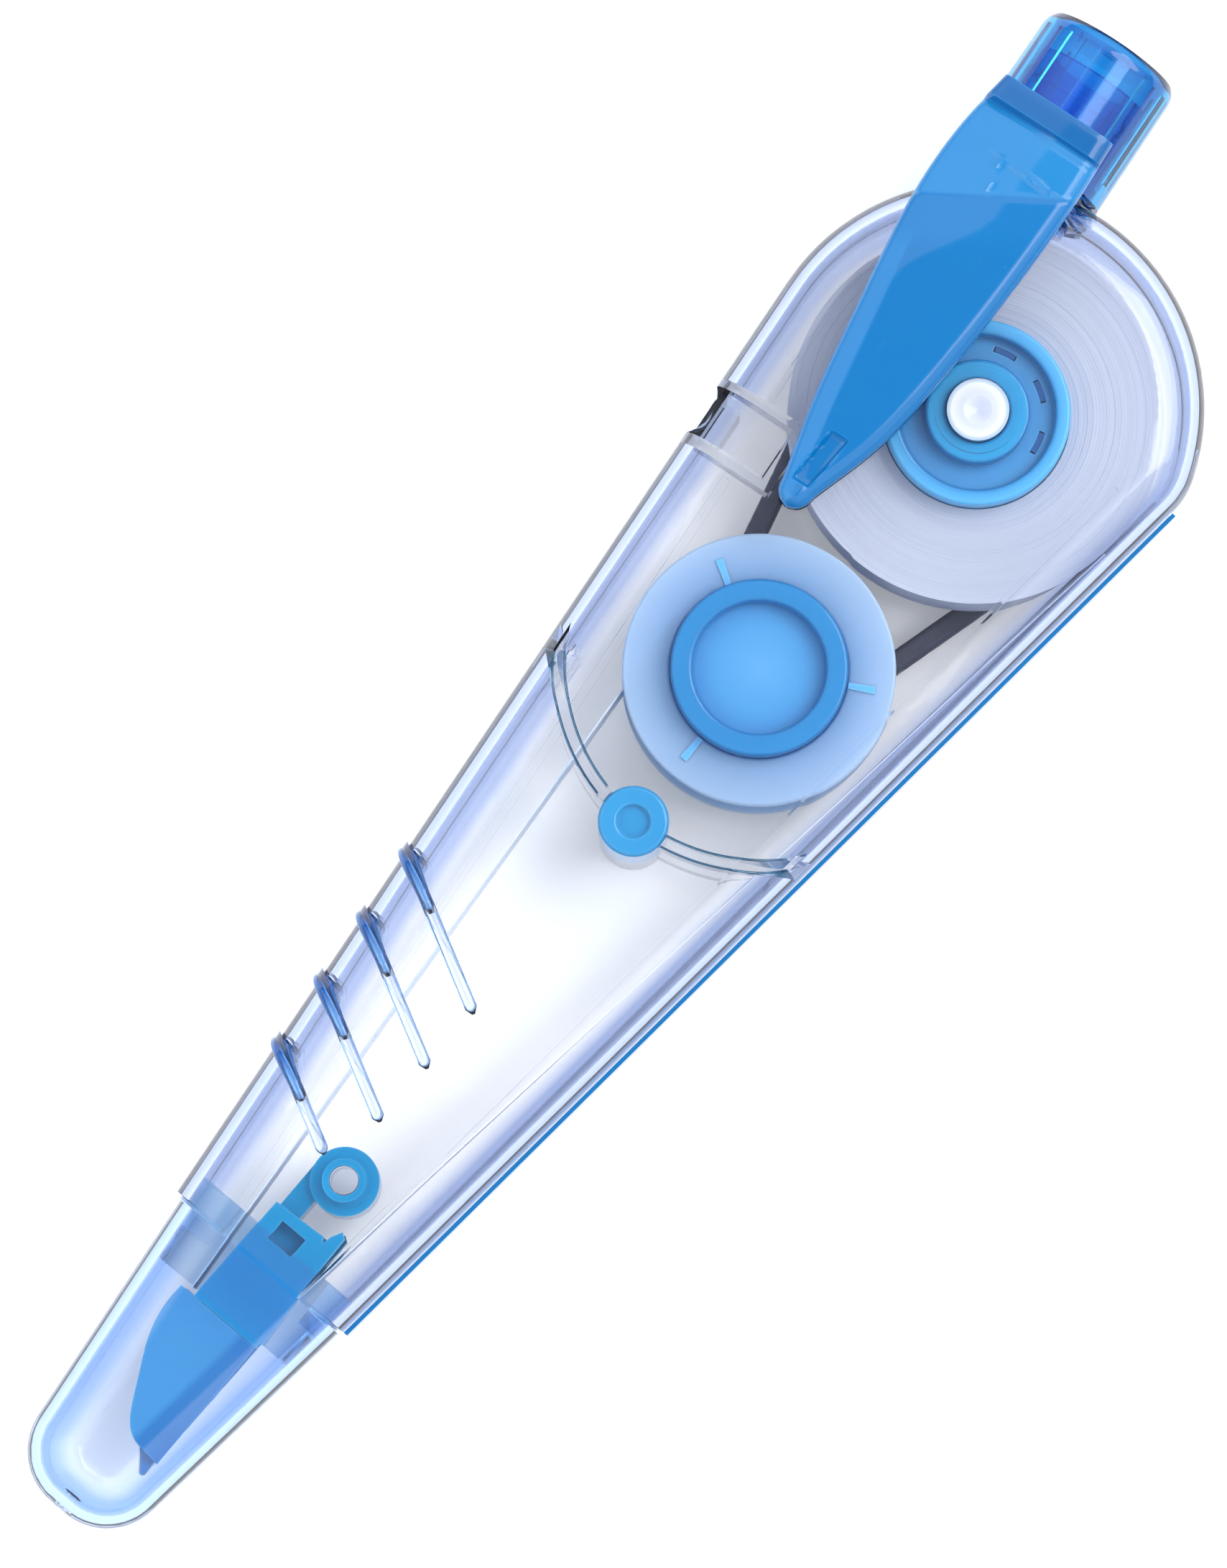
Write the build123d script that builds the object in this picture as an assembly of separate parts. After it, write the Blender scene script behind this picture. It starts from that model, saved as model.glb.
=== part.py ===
from build123d import *
import math
import os

# A pen-shaped correction tape dispenser lying on its back, all sizes in millimetres.
# The origin is on the supply reel's axis at the back face. +X runs to the nose,
# +Y to the belly side and +Z up through the front face.

# ---- case ----
THICKNESS = 14.0
MID = THICKNESS / 2
WALL = 1.0
CASE_CENTRE = (-0.4, -0.3)
END_RADIUS = 16.1
BELLY_REACH = 15.0
SPINE_ANGLE = 6.6
BELLY_ANGLE = 5.0
MOUTH_X = 78.1
CORNER_RADIUS = 6.0
EDGE_ROUNDING = 3.8
LIP_HEIGHT = 0.7
LIP_SHARE = 0.5
FIT = 0.05
RAIL_INSET = 3.7
RAIL_THICK = 0.35
RAIL_HEIGHT = 0.6
RAIL_END_X = 75.4
FRONT_RAIL_START_X = -2.0
BACK_RAIL_START_X = 14.0

# ---- belly strip, let into the belly wall ----
STRIP_DEPTH = 0.55
STRIP_PROUD = 0.25
STRIP_HEIGHT = 3.2
STRIP_START_X = -3.8

# ---- grip ribs on the spine side ----
GRIP_COUNT = 4
GRIP_START_X = 49.6
GRIP_PITCH = 5.3
GRIP_ANGLE = 27.0
GRIP_WIDTH = 0.8
GRIP_RISE = 0.3
GRIP_END_Y = (0.6, 0.6, 0.5, -1.0)

# ---- snap tongues and the finger notch, on the spine wall ----
TONGUES = ((12.3, 3.0), (32.4, 2.2))
TONGUE_THICK = 1.1
NOTCH_X = 12.3
NOTCH_SIZE = (5.4, 8.4)
NOTCH_WALL = 0.75
NOTCH_LOW = 9.9
NOTCH_FLOOR = 1.0
SCOOP_RADIUS = 2.9
SCOOP_REACH = 3.6

# ---- reel layout, measured up from the back face ----
TAKEUP_X = 23.77
TAPE_WIDTH = 5.0
TAPE_LOW = MID - TAPE_WIDTH / 2
TAPE_HIGH = MID + TAPE_WIDTH / 2
TAPE_THICK = 0.1
ROLL_RADIUS = 13.4
CORE_RADIUS = 6.6
AXLE_RADIUS = 2.2
AXLE_LOW = 0.55
PULLEY_LOW = 1.3
PULLEY_HIGH = 3.7
BELT_SIZE = 1.6
BELT_Z = (PULLEY_LOW + PULLEY_HIGH) / 2
SUPPLY_BELT_RADIUS = 10.6
TAKEUP_BELT_RADIUS = 4.6
PULLEY_LIP = 0.35
FLANGE_LOW = 3.9
FLANGE_RADIUS = 9.65
HUB_OUTER = 6.25
HUB_INNER = 4.7
LINER_RADIUS = 6.9
POST_RADIUS = 1.5
POST_TOP = 8.6
SEAT_RADIUS = 3.0
TAKEUP_SEAT_RADIUS = 2.6
SOCKET_RADIUS = 3.1
SOCKET_DEPTH = 0.8

# ---- supply hub, its axle, the drive wheel and its washer ----
CORE_TOP = 11.5
CORE_BORE = 5.5
CORE_FLANGE_RADIUS = 8.2
CORE_FLANGE_THICK = 0.5
WEB_LOW = 9.2
WEB_HIGH = 10.2
BOSS_RADIUS = 3.7
BOSS_TOP = 11.9
SLOT_ANGLES = (105, 150, 195, 240)
SLOT_RADII = (4.6, 5.0)
SLOT_WIDTH = 1.7
SLOT_DEPTH = 0.6
AXLE_TOP = 12.75
CONE_RADIUS = 1.0
CONE_DEPTH = 0.45
WHEEL_LIP = 0.9
RECESS_RADIUS = 5.1
RECESS_BORE = 2.9
RECESS_LOW = 3.2
HOLE_CIRCLE = 7.7
HOLE_RADIUS = 1.5
HOLE_COUNT = 6
WASHER_RADIUS = 5.0
WASHER_BORE = 3.0
TAB_WIDTH = 1.0
RIM_SOFTENING = 0.25

# ---- take-up reel ----
HUB_TOP = 12.1
HUB_WEB = (9.9, 10.6)
SPOKE_REACH = 8.4
SPOKE_WIDTH = 0.8
SPOKE_COUNT = 3
DISC_THICK = 0.6
DISC_GAP = 0.3
SLEEVE_TOP = 6.0
BELT_ROUNDING = 0.45

# ---- case pin and the ribs around the reel bay ----
PIN_X = 37.8
PIN_Y = 0.3
PIN_RADIUS = 2.5
PIN_STEM = 1.5
PIN_DIMPLE = 1.1
RIB_THICK = 0.9
RIB_HEIGHT = 2.7

# ---- head: carrier, blade and collar ----
EYE_X = 70.0
EYE_Y = 1.1
EYE_RADIUS = 2.45
EYE_BOSS = 1.55
EYE_POST = 1.0
EYE_SEAT_RADIUS = 2.0
EYE_SEAT_TOP = 2.6
EYE_HALF = 2.8
EYE_BOSS_HALF = 4.25
GUARD = 0.7
GUARD_LOW = MID - TAPE_WIDTH / 2 - 0.2 - GUARD
GUARD_HIGH = MID + TAPE_WIDTH / 2 + 0.2 + GUARD
BLADE_ROOT_X = 82.9
BELLY_RAMP_Y = 3.2
SPINE_RAMP_Y = -2.15
TIP_X = 94.55
TIP_Y = 3.45
TIP_EDGE = 0.2
COLLAR_END_X = 82.4

# ---- tip cap ----
CAP_RIM_X = 78.4
CAP_END_X = 100.3
CAP_RIM_SPINE = -6.9
CAP_RIM_BELLY = 7.65
CAP_TAPER_SPINE = 6.9
CAP_TAPER_BELLY = 6.0
CAP_CORNER = 4.6
CAP_ROUNDING = 4.0
CAP_WALL = 0.9
CAP_BACK_Z = 0.7
CAP_VENT_RADIUS = 0.75

# ---- end cap and pocket clip, on an axis tilted in the plane of the case ----
KNOB_X = -16.4
KNOB_Y = -8.3
KNOB_TILT = 6.5
KNOB_RADIUS = 5.4
KNOB_BORE = 4.6
KNOB_LENGTH = 10.8
KNOB_ROOF = 1.2
KNOB_EDGE = 1.7
DOME_RADIUS = 22.0
FLUTE_COUNT = 12
FLUTE_DEPTH = 0.25
FLUTE_WIDTH = 1.2
FLUTE_LOW = 1.6
NECK_RADIUS = 5.1
SLEEVE_RADIUS = 4.3
SLEEVE_BORE = 3.3
SLEEVE_LOW = -3.1
SLEEVE_HIGH = 7.6
CLIP_HINGE_S = 1.4
CLIP_HINGE_Z = 13.4
CLIP_HINGE_RADIUS = 1.2
CLIP_SIDE = 0.5
CLIP_ROOT_S = 3.25
CLIP_TIP_S = -30.7
CLIP_LOW = 14.75
CLIP_HIGH = 16.6
CLIP_ROUNDING = 0.7
BARREL_LENGTH = 8.4


def slab(face, low, high):
    """A flat face drawn at Z zero, as a solid from one height to another."""
    return extrude(Pos(0, 0, low) * face, amount=high - low, dir=(0, 0, 1))


def tube(x, y, outer, low, high, bore=0.0):
    """A round post or ring standing at x, y."""
    solid = Pos(x, y, (low + high) / 2) * Cylinder(outer, high - low)
    if bore:
        solid -= Pos(x, y, (low + high) / 2) * Cylinder(bore, high - low + 1)
    return solid


def block(x0, x1, y0, y1, z0, z1):
    """A box between two corners."""
    return Pos((x0 + x1) / 2, (y0 + y1) / 2, (z0 + z1) / 2) * Box(x1 - x0, y1 - y0, z1 - z0)


def level_edges(solid, heights, away_from_x=None):
    """The edges that lie flat at the given heights, less any at the stated end."""
    found = []
    for edge in solid.edges():
        box = edge.bounding_box()
        if box.max.Z - box.min.Z > 1e-4:
            continue
        at_end = away_from_x is not None and abs(edge.center().X - away_from_x) < 1e-3
        if any(abs(box.min.Z - h) < 1e-4 for h in heights) and not at_end:
            found.append(edge)
    return found


# ------------------------------------------------------------------ case

def case_face(inset, end_x):
    """The case's outline, drawn in by an inset, out to an open end at end_x."""
    cx, cy = CASE_CENTRE
    radius = END_RADIUS - inset
    reach = BELLY_REACH - inset
    sa, ba = math.radians(SPINE_ANGLE), math.radians(BELLY_ANGLE)
    spine = (cx + radius * math.sin(sa), cy - radius * math.cos(sa))
    spine_end = (end_x, spine[1] + (end_x - spine[0]) * math.tan(sa))
    half = math.sqrt(radius**2 - reach**2)
    corner = (
        cx + reach * math.sin(ba) - half * math.cos(ba),
        cy + reach * math.cos(ba) + half * math.sin(ba),
    )
    belly_end = (end_x, corner[1] - (end_x - corner[0]) * math.tan(ba))
    outline = make_face(
        [
            Line(spine_end, spine),
            ThreePointArc(spine, (cx - radius, cy), corner),
            Line(corner, belly_end),
            Line(belly_end, spine_end),
        ]
    )
    nearest = outline.vertices().sort_by_distance(Vector(*corner, 0))[0]
    return fillet(nearest, CORNER_RADIUS - inset)


def case_solid(inset, low, high, end_x):
    """The case's rounded outer form, or its inner form with an inset."""
    solid = slab(case_face(inset, end_x), low, high)
    return fillet(level_edges(solid, (low, high), end_x), EDGE_ROUNDING - inset)


def spine_height(x, inset=0.0):
    """Y of the spine wall at x."""
    sa = math.radians(SPINE_ANGLE)
    reach = END_RADIUS - inset
    return CASE_CENTRE[1] - (reach - (x - CASE_CENTRE[0]) * math.sin(sa)) / math.cos(sa)


def knob_axis(s=0.0, t=0.0, z=MID):
    """A frame on the end cap's axis: local Z points out of the end, local X to the spine."""
    a = math.radians(KNOB_TILT)
    out = Vector(-math.cos(a), -math.sin(a), 0)
    side = Vector(math.sin(a), -math.cos(a), 0)
    origin = Vector(KNOB_X, KNOB_Y, z) + out * s + side * t
    return Plane(origin=origin, x_dir=side, z_dir=out)


def knob_tube(outer, low, high, bore=0.0):
    """A round ring along the end cap's axis, from one station to another."""
    solid = knob_axis((low + high) / 2) * Cylinder(outer, high - low)
    if bore:
        solid -= knob_axis((low + high) / 2) * Cylinder(bore, high - low + 1)
    return solid


def grip_ribs(outer):
    """Slanted ribs that stand proud of the case on the spine side, clear of the back face."""
    grown = case_solid(-GRIP_RISE, -GRIP_RISE, THICKNESS + GRIP_RISE, MOUTH_X)
    ribs = None
    for index in range(GRIP_COUNT):
        x = GRIP_START_X + GRIP_PITCH * index
        y = spine_height(x)
        length = (GRIP_END_Y[index] - y) / math.cos(math.radians(GRIP_ANGLE))
        bar = Box(GRIP_WIDTH, length + 3, THICKNESS + 2, align=(Align.CENTER, Align.MIN, Align.MIN))
        bar += Pos(0, length + 3, 0) * Cylinder(
            GRIP_WIDTH / 2, THICKNESS + 2, align=(Align.CENTER, Align.CENTER, Align.MIN)
        )
        placed = Pos(x, y, 0) * Rot(0, 0, -GRIP_ANGLE) * Pos(0, -3, 0) * bar
        rib = (placed & grown) - outer
        ribs = rib if ribs is None else ribs + rib
    return ribs


def rib_arc(low, high):
    """The curved rib that walls off the reel bay, concentric with the take-up reel."""
    centre = math.hypot(PIN_X - TAKEUP_X, PIN_Y)
    ring = tube(TAKEUP_X, 0, centre + RIB_THICK / 2, low, high, centre - RIB_THICK / 2)
    bay = slab(case_face(WALL - 0.1, MOUTH_X), low, high)
    return ring & bay & block(28, 60, -20, 20, low, high)


def back_fittings():
    """What stands up from the back wall: seats, posts, the pin's tube and the rib."""
    floor = WALL - 0.1
    parts = tube(0, 0, SEAT_RADIUS, floor, PULLEY_LOW - FIT, AXLE_RADIUS)
    parts += tube(TAKEUP_X, 0, POST_RADIUS, floor, POST_TOP)
    parts += tube(TAKEUP_X, 0, TAKEUP_SEAT_RADIUS, floor, PULLEY_LOW - FIT)
    parts += tube(PIN_X, PIN_Y, PIN_RADIUS, floor, MID - 0.1, PIN_STEM + FIT)
    parts += tube(EYE_X, EYE_Y, EYE_POST, floor, MID - 0.3)
    parts += tube(EYE_X, EYE_Y, EYE_SEAT_RADIUS, floor, EYE_SEAT_TOP)
    parts += rib_arc(floor, WALL + RIB_HEIGHT) - tube(PIN_X, PIN_Y, PIN_RADIUS - 0.2, 0, MID)
    return parts


def front_fittings():
    """What hangs from the front wall: the axle's socket, the eye's pin and the rib."""
    roof = THICKNESS - WALL + 0.1
    parts = tube(0, 0, SOCKET_RADIUS, roof - SOCKET_DEPTH, roof, AXLE_RADIUS + FIT)
    parts += tube(EYE_X, EYE_Y, EYE_POST, MID + 0.3, roof)
    parts += tube(EYE_X, EYE_Y, EYE_SEAT_RADIUS, THICKNESS - EYE_SEAT_TOP, roof)
    rib = rib_arc(THICKNESS - WALL - RIB_HEIGHT, roof)
    parts += rib - tube(PIN_X, PIN_Y, PIN_RADIUS + FIT, MID, roof + 1)
    return parts


def snap_tongues(inset, low, high):
    """Two tongues on the spine wall that hold the halves together."""
    tongues = None
    for x, width in TONGUES:
        y = spine_height(x, inset)
        tongue = Pos(x, y, low) * Rot(0, 0, SPINE_ANGLE) * Box(
            width, TONGUE_THICK, high - low, align=(Align.CENTER, Align.MIN, Align.MIN)
        )
        tongues = tongue if tongues is None else tongues + tongue
    return tongues


def catch_well():
    """The flat-floored finger notch over the larger tongue: its body, pocket and scoop."""
    place = Pos(NOTCH_X, spine_height(NOTCH_X), 0) * Rot(0, 0, SPINE_ANGLE)
    align = (Align.CENTER, Align.MIN, Align.MIN)
    wide, deep = NOTCH_SIZE
    body = place * Pos(0, -1, NOTCH_LOW) * Box(wide, deep, THICKNESS - NOTCH_LOW + 0.1, align=align)
    pocket_size = (wide - 2 * NOTCH_WALL, deep - 1.0, THICKNESS)
    pocket = place * Pos(0, -1, NOTCH_LOW + NOTCH_FLOOR) * Box(*pocket_size, align=align)
    scoop = place * Pos(0, 0.8 - SCOOP_RADIUS, MID) * Cylinder(SCOOP_RADIUS, THICKNESS)
    return body, pocket, scoop


def inner_rail(start_x, low, high):
    """A low rail that runs round the inside of a shell, parallel to its outline."""
    ring = slab(case_face(RAIL_INSET, MOUTH_X), low, high)
    ring -= slab(case_face(RAIL_INSET + RAIL_THICK, MOUTH_X + 5), low - 1, high + 1)
    return ring & block(start_x, RAIL_END_X, -20, 20, low, high)


def strip_band(inset_inner, inset_outer, height):
    """A band along the belly between two insets, from the case's corner to its mouth."""
    low, high = MID - height / 2, MID + height / 2
    band = slab(case_face(inset_outer, MOUTH_X), low, high)
    band -= slab(case_face(inset_inner, MOUTH_X + 5), low - 1, high + 1)
    return band & block(STRIP_START_X, MOUTH_X, 0, 30, low, high)


def make_case():
    """The back and front shells, split at mid height."""
    base = knob_tube(NECK_RADIUS, -8.0, -0.3)
    outer = case_solid(0, 0, THICKNESS, MOUTH_X)
    ribs = grip_ribs(outer)
    cavity = case_solid(WALL, WALL, THICKNESS - WALL, MOUTH_X + 10)
    bore = knob_tube(SLEEVE_RADIUS + 0.02, SLEEVE_LOW - 0.02, 4.0)
    bore += knob_tube(SLEEVE_BORE, -6.5, 4.0)
    shell = (outer + base) - cavity - bore
    shell -= strip_band(STRIP_DEPTH, -2.0, STRIP_HEIGHT)
    below = block(-40, 120, -30, 30, -5, MID)
    above = block(-40, 120, -30, 30, MID, THICKNESS + 5)
    well, pocket, scoop = catch_well()

    lip = slab(case_face(LIP_SHARE * WALL, MOUTH_X), MID - 0.2, MID + LIP_HEIGHT)
    lip -= slab(case_face(WALL, MOUTH_X + 5), MID - 1, MID + 2)
    lip &= block(-8.0, MOUTH_X, -30, 30, 0, THICKNESS)
    lip_room = slab(case_face(LIP_SHARE * WALL - FIT, MOUTH_X), MID, MID + LIP_HEIGHT + FIT)
    lip_room &= block(-8.1, MOUTH_X, -30, 30, 0, THICKNESS)

    back = (shell & below) + lip
    back += back_fittings()
    back += snap_tongues(WALL + 0.3, MID - 3.0, MID + 2.4) & outer
    back += snap_tongues(WALL - 0.2, MID - 3.0, MID - 0.6) & outer
    back += inner_rail(BACK_RAIL_START_X, WALL - 0.1, WALL + RAIL_HEIGHT)
    back += ribs & block(-40, 120, -30, 30, 0.0, MID)
    back -= scoop & block(-40, 120, -30, 30, MID - SCOOP_REACH, MID)

    front = (shell & above) - lip_room
    front += well & outer
    front -= pocket
    front += front_fittings()
    rail = inner_rail(FRONT_RAIL_START_X, THICKNESS - WALL - RAIL_HEIGHT, THICKNESS - WALL + 0.1)
    front += rail - well
    front += ribs & above
    front -= scoop & block(-40, 120, -30, 30, MID, MID + SCOOP_REACH)
    back -= tube(0, 0, AXLE_RADIUS + 0.02, AXLE_LOW, MID)
    return back, front


def make_belly_strip():
    """The coloured rail let into the belly wall."""
    return strip_band(STRIP_DEPTH - FIT, -STRIP_PROUD, STRIP_HEIGHT - 2 * FIT)


def make_case_pin():
    """The pin that clamps the halves between the reels and the nose."""
    pin = tube(PIN_X, PIN_Y, PIN_RADIUS, MID, THICKNESS - WALL - FIT)
    pin += tube(PIN_X, PIN_Y, PIN_STEM, WALL + 0.3, MID + 0.1)
    pin -= tube(PIN_X, PIN_Y, PIN_DIMPLE, THICKNESS - WALL - 0.55, THICKNESS)
    return fillet(level_edges(pin, (THICKNESS - WALL - FIT,)), 0.3)


# ------------------------------------------------------------------ reels

def tangent(centre, radius, start, side):
    """Where a line from start touches a circle, on its +Y side (1) or its -Y side (-1)."""
    dx, dy = centre[0] - start[0], centre[1] - start[1]
    distance = math.hypot(dx, dy)
    bearing = math.atan2(dy, dx) - side * math.asin(radius / distance)
    reach = math.sqrt(distance**2 - radius**2)
    return (start[0] + reach * math.cos(bearing), start[1] + reach * math.sin(bearing))


def make_supply_core():
    """The hub that the tape is wound on, with a dished web and four snap slots."""
    core = tube(0, 0, CORE_RADIUS, FLANGE_LOW, CORE_TOP, CORE_BORE)
    core += tube(0, 0, CORE_FLANGE_RADIUS, FLANGE_LOW, FLANGE_LOW + CORE_FLANGE_THICK, CORE_BORE - 0.1)
    core += tube(0, 0, CORE_BORE + 0.1, WEB_LOW, WEB_HIGH, AXLE_RADIUS + FIT)
    core += tube(0, 0, BOSS_RADIUS, FLANGE_LOW, BOSS_TOP, AXLE_RADIUS + FIT)
    inner, outer = SLOT_RADII
    ring = tube(0, 0, outer, WEB_HIGH - SLOT_DEPTH, CORE_TOP, inner)
    for angle in SLOT_ANGLES:
        gate = block(3, 6, -SLOT_WIDTH / 2, SLOT_WIDTH / 2, WEB_LOW, CORE_TOP)
        core -= ring & (Rot(0, 0, angle) * gate)
    return fillet(level_edges(core, (CORE_TOP, BOSS_TOP)), RIM_SOFTENING)


def make_tape_roll():
    """The wound correction tape."""
    return tube(0, 0, ROLL_RADIUS, TAPE_LOW, TAPE_HIGH, CORE_RADIUS + FIT)


def make_supply_axle():
    """The axle pin, with a shallow cone in its top."""
    axle = tube(0, 0, AXLE_RADIUS, AXLE_LOW, AXLE_TOP)
    align = (Align.CENTER, Align.CENTER, Align.MIN)
    cone = Cone(0.0, 2 * CONE_RADIUS, 2 * CONE_DEPTH, align=align)
    return axle - Pos(0, 0, AXLE_TOP - CONE_DEPTH) * cone


def make_drive_pulley():
    """The grooved wheel behind the roll, with a recess for the clutch washer."""
    wheel = tube(0, 0, SUPPLY_BELT_RADIUS + WHEEL_LIP, PULLEY_LOW, PULLEY_HIGH, AXLE_RADIUS + FIT)
    floor = SUPPLY_BELT_RADIUS - BELT_SIZE / 2
    wheel -= tube(0, 0, 2 * floor, PULLEY_LOW + PULLEY_LIP, PULLEY_HIGH - PULLEY_LIP, floor)
    wheel -= tube(0, 0, RECESS_RADIUS, RECESS_LOW, PULLEY_HIGH + 1, RECESS_BORE)
    for index in range(HOLE_COUNT):
        hole = Pos(HOLE_CIRCLE, 0, BELT_Z) * Cylinder(HOLE_RADIUS, 4)
        wheel -= Rot(0, 0, index * 360 / HOLE_COUNT) * hole
    return wheel


def make_clutch_washer():
    """The friction washer that lets the pulley slip under the core."""
    washer = tube(0, 0, WASHER_RADIUS, RECESS_LOW + 0.02, FLANGE_LOW - 0.03, WASHER_BORE)
    for index in range(HOLE_COUNT):
        notch = block(4.2, 6, -TAB_WIDTH / 2, TAB_WIDTH / 2, RECESS_LOW - 0.2, FLANGE_LOW + 0.3)
        washer -= Rot(0, 0, index * 360 / HOLE_COUNT) * notch
    return washer


def make_takeup_core():
    """The take-up hub: a ring with a web across it, and three short spokes."""
    core = tube(TAKEUP_X, 0, HUB_OUTER, FLANGE_LOW + 0.6, HUB_TOP, HUB_INNER)
    core += tube(TAKEUP_X, 0, HUB_INNER + 0.1, *HUB_WEB)
    low, high = TAPE_HIGH + 0.02, TAPE_HIGH + DISC_GAP - 0.03
    spoke = block(HUB_OUTER - 0.3, SPOKE_REACH, -SPOKE_WIDTH / 2, SPOKE_WIDTH / 2, low, high)
    for index in range(SPOKE_COUNT):
        core += Pos(TAKEUP_X, 0, 0) * Rot(0, 0, index * 360 / SPOKE_COUNT) * spoke
    return fillet(level_edges(core, (HUB_TOP,)), RIM_SOFTENING)


def make_takeup_front_flange():
    """The milky disc over the liner."""
    low = TAPE_HIGH + DISC_GAP
    disc = tube(TAKEUP_X, 0, FLANGE_RADIUS, low, low + DISC_THICK, HUB_OUTER + 0.02)
    return fillet(level_edges(disc, (low + DISC_THICK,)), 0.2)


def make_takeup_back_flange():
    """The disc under the liner, with the take-up's belt groove below it."""
    bore = POST_RADIUS + FIT
    disc = tube(TAKEUP_X, 0, FLANGE_RADIUS, FLANGE_LOW, FLANGE_LOW + 0.55, bore)
    disc += tube(TAKEUP_X, 0, HUB_INNER - 0.02, FLANGE_LOW, SLEEVE_TOP, bore)
    disc += tube(TAKEUP_X, 0, TAKEUP_BELT_RADIUS + 0.7, PULLEY_LOW, FLANGE_LOW + 0.1, bore)
    floor = TAKEUP_BELT_RADIUS - BELT_SIZE / 2
    return disc - tube(TAKEUP_X, 0, 20, PULLEY_LOW + PULLEY_LIP, PULLEY_HIGH - PULLEY_LIP, floor)


def make_takeup_liner():
    """The spent backing strip wound on the take-up hub."""
    return tube(TAKEUP_X, 0, LINER_RADIUS, TAPE_LOW, TAPE_HIGH, HUB_OUTER + 0.02)


def belt_loop(offset):
    """The outline that a belt's inner or outer face follows round both pulleys."""
    big, small = SUPPLY_BELT_RADIUS + offset, TAKEUP_BELT_RADIUS + offset
    lean = math.asin((SUPPLY_BELT_RADIUS - TAKEUP_BELT_RADIUS) / TAKEUP_X)
    across, along = math.cos(lean), math.sin(lean)
    top = ((big * along, big * across), (TAKEUP_X + small * along, small * across))
    low = tuple((x, -y) for x, y in top)
    return make_face(
        [
            Line(top[0], top[1]),
            ThreePointArc(top[1], (TAKEUP_X + small, 0), low[1]),
            Line(low[1], low[0]),
            ThreePointArc(low[0], (-big, 0), top[0]),
        ]
    )


def make_drive_belt():
    """The rubber ring that drives the take-up reel from the supply pulley."""
    low, high = BELT_Z - BELT_SIZE / 2, BELT_Z + BELT_SIZE / 2
    ring = slab(belt_loop(BELT_SIZE / 2), low, high)
    ring -= slab(belt_loop(FIT - BELT_SIZE / 2), low - 1, high + 1)
    return fillet(level_edges(ring, (low, high)), BELT_ROUNDING)


# ------------------------------------------------------------------ tape runs

def ribbon(start, end):
    """A straight run of tape on edge between two points."""
    dx, dy = end[0] - start[0], end[1] - start[1]
    length = math.hypot(dx, dy)
    angle = math.degrees(math.atan2(dy, dx))
    run = Box(length, TAPE_THICK, TAPE_WIDTH, align=(Align.MIN, Align.CENTER, Align.CENTER))
    return Pos(start[0], start[1], MID) * Rot(0, 0, angle) * run


def make_feed_run():
    """Fresh tape, from the roll to the blade."""
    start = (BLADE_ROOT_X - 0.4, BELLY_RAMP_Y + 0.12)
    return ribbon(start, tangent((0, 0), ROLL_RADIUS + 0.15, start, 1))


def make_return_run():
    """Spent liner, from the blade to the take-up reel."""
    start = (BLADE_ROOT_X - 0.4, SPINE_RAMP_Y - 0.12)
    return ribbon(start, tangent((TAKEUP_X, 0), LINER_RADIUS + 0.15, start, -1))


def ramp_face(grow=0.0):
    """The side view of the wedge that carries the tape, grown by an even layer."""
    low = [(BLADE_ROOT_X, SPINE_RAMP_Y), (86.6, -1.75), (90.1, -0.25), (93.0, 1.95)]
    lean = [(0.0, -1.0), (0.28, -0.96), (0.5, -0.87), (0.66, -0.75)]
    low = [(p[0] + grow * n[0], p[1] + grow * n[1]) for p, n in zip(low, lean)]
    reach = TIP_EDGE + grow
    tip_low = (TIP_X + reach * 0.72, TIP_Y - reach * 0.69)
    tip_far = (TIP_X + reach * 0.93, TIP_Y + reach * 0.37)
    tip_high = (TIP_X, TIP_Y + reach)
    root_high = (BLADE_ROOT_X, BELLY_RAMP_Y + grow)
    return make_face(
        [
            Line(low[0], root_high),
            Line(root_high, tip_high),
            ThreePointArc(tip_high, tip_far, tip_low),
            Spline(tip_low, *reversed(low)),
        ]
    )


def make_tip_loop():
    """The tape where it goes over the blade's edge, lying on both ramps."""
    loop = slab(ramp_face(0.03 + TAPE_THICK), TAPE_LOW, TAPE_HIGH)
    loop -= slab(ramp_face(0.03), TAPE_LOW - 1, TAPE_HIGH + 1)
    return loop & block(BLADE_ROOT_X + 0.05, 120, -20, 20, 0, THICKNESS)


# ------------------------------------------------------------------ head

def guard_face():
    """The side guard beside the ramp: straight on the belly side, bowed on the spine side."""
    root_low, root_high = (BLADE_ROOT_X, -2.9), (BLADE_ROOT_X, 3.85)
    end_low, end_high = (93.35, 2.55), (93.5, 3.85)
    return make_face(
        [
            Line(root_low, root_high),
            Line(root_high, end_high),
            Line(end_high, end_low),
            Spline(end_low, (93.15, 1.45), (90.25, -0.75), (86.6, -2.5), root_low),
        ]
    )


def make_blade():
    """The applicator blade: a wedge with a thin edge, between two side guards."""
    blade = slab(ramp_face(), GUARD_LOW + GUARD, GUARD_HIGH - GUARD)
    blade += slab(guard_face(), GUARD_LOW, GUARD_LOW + GUARD)
    blade += slab(guard_face(), GUARD_HIGH - GUARD, GUARD_HIGH)
    tang = block(78.4, BLADE_ROOT_X + 0.2, -0.6, 2.2, MID - 1.6, MID + 1.6)
    return blade + tang


def carrier_plate(low, high):
    """One side plate of the carrier: the block, its hook and the neck through the collar."""
    outline = Polyline(
        (74.15, -1.6),
        (73.9, 2.5),
        (74.3, 2.75),
        (73.6, 2.9),
        (72.8, 3.3),
        (73.1, 3.75),
        (77.2, 3.85),
        (BLADE_ROOT_X - 0.03, 3.85),
        (BLADE_ROOT_X - 0.03, -1.75),
        (76.3, -1.65),
        close=True,
    )
    return slab(make_face(outline), low, high)


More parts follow.
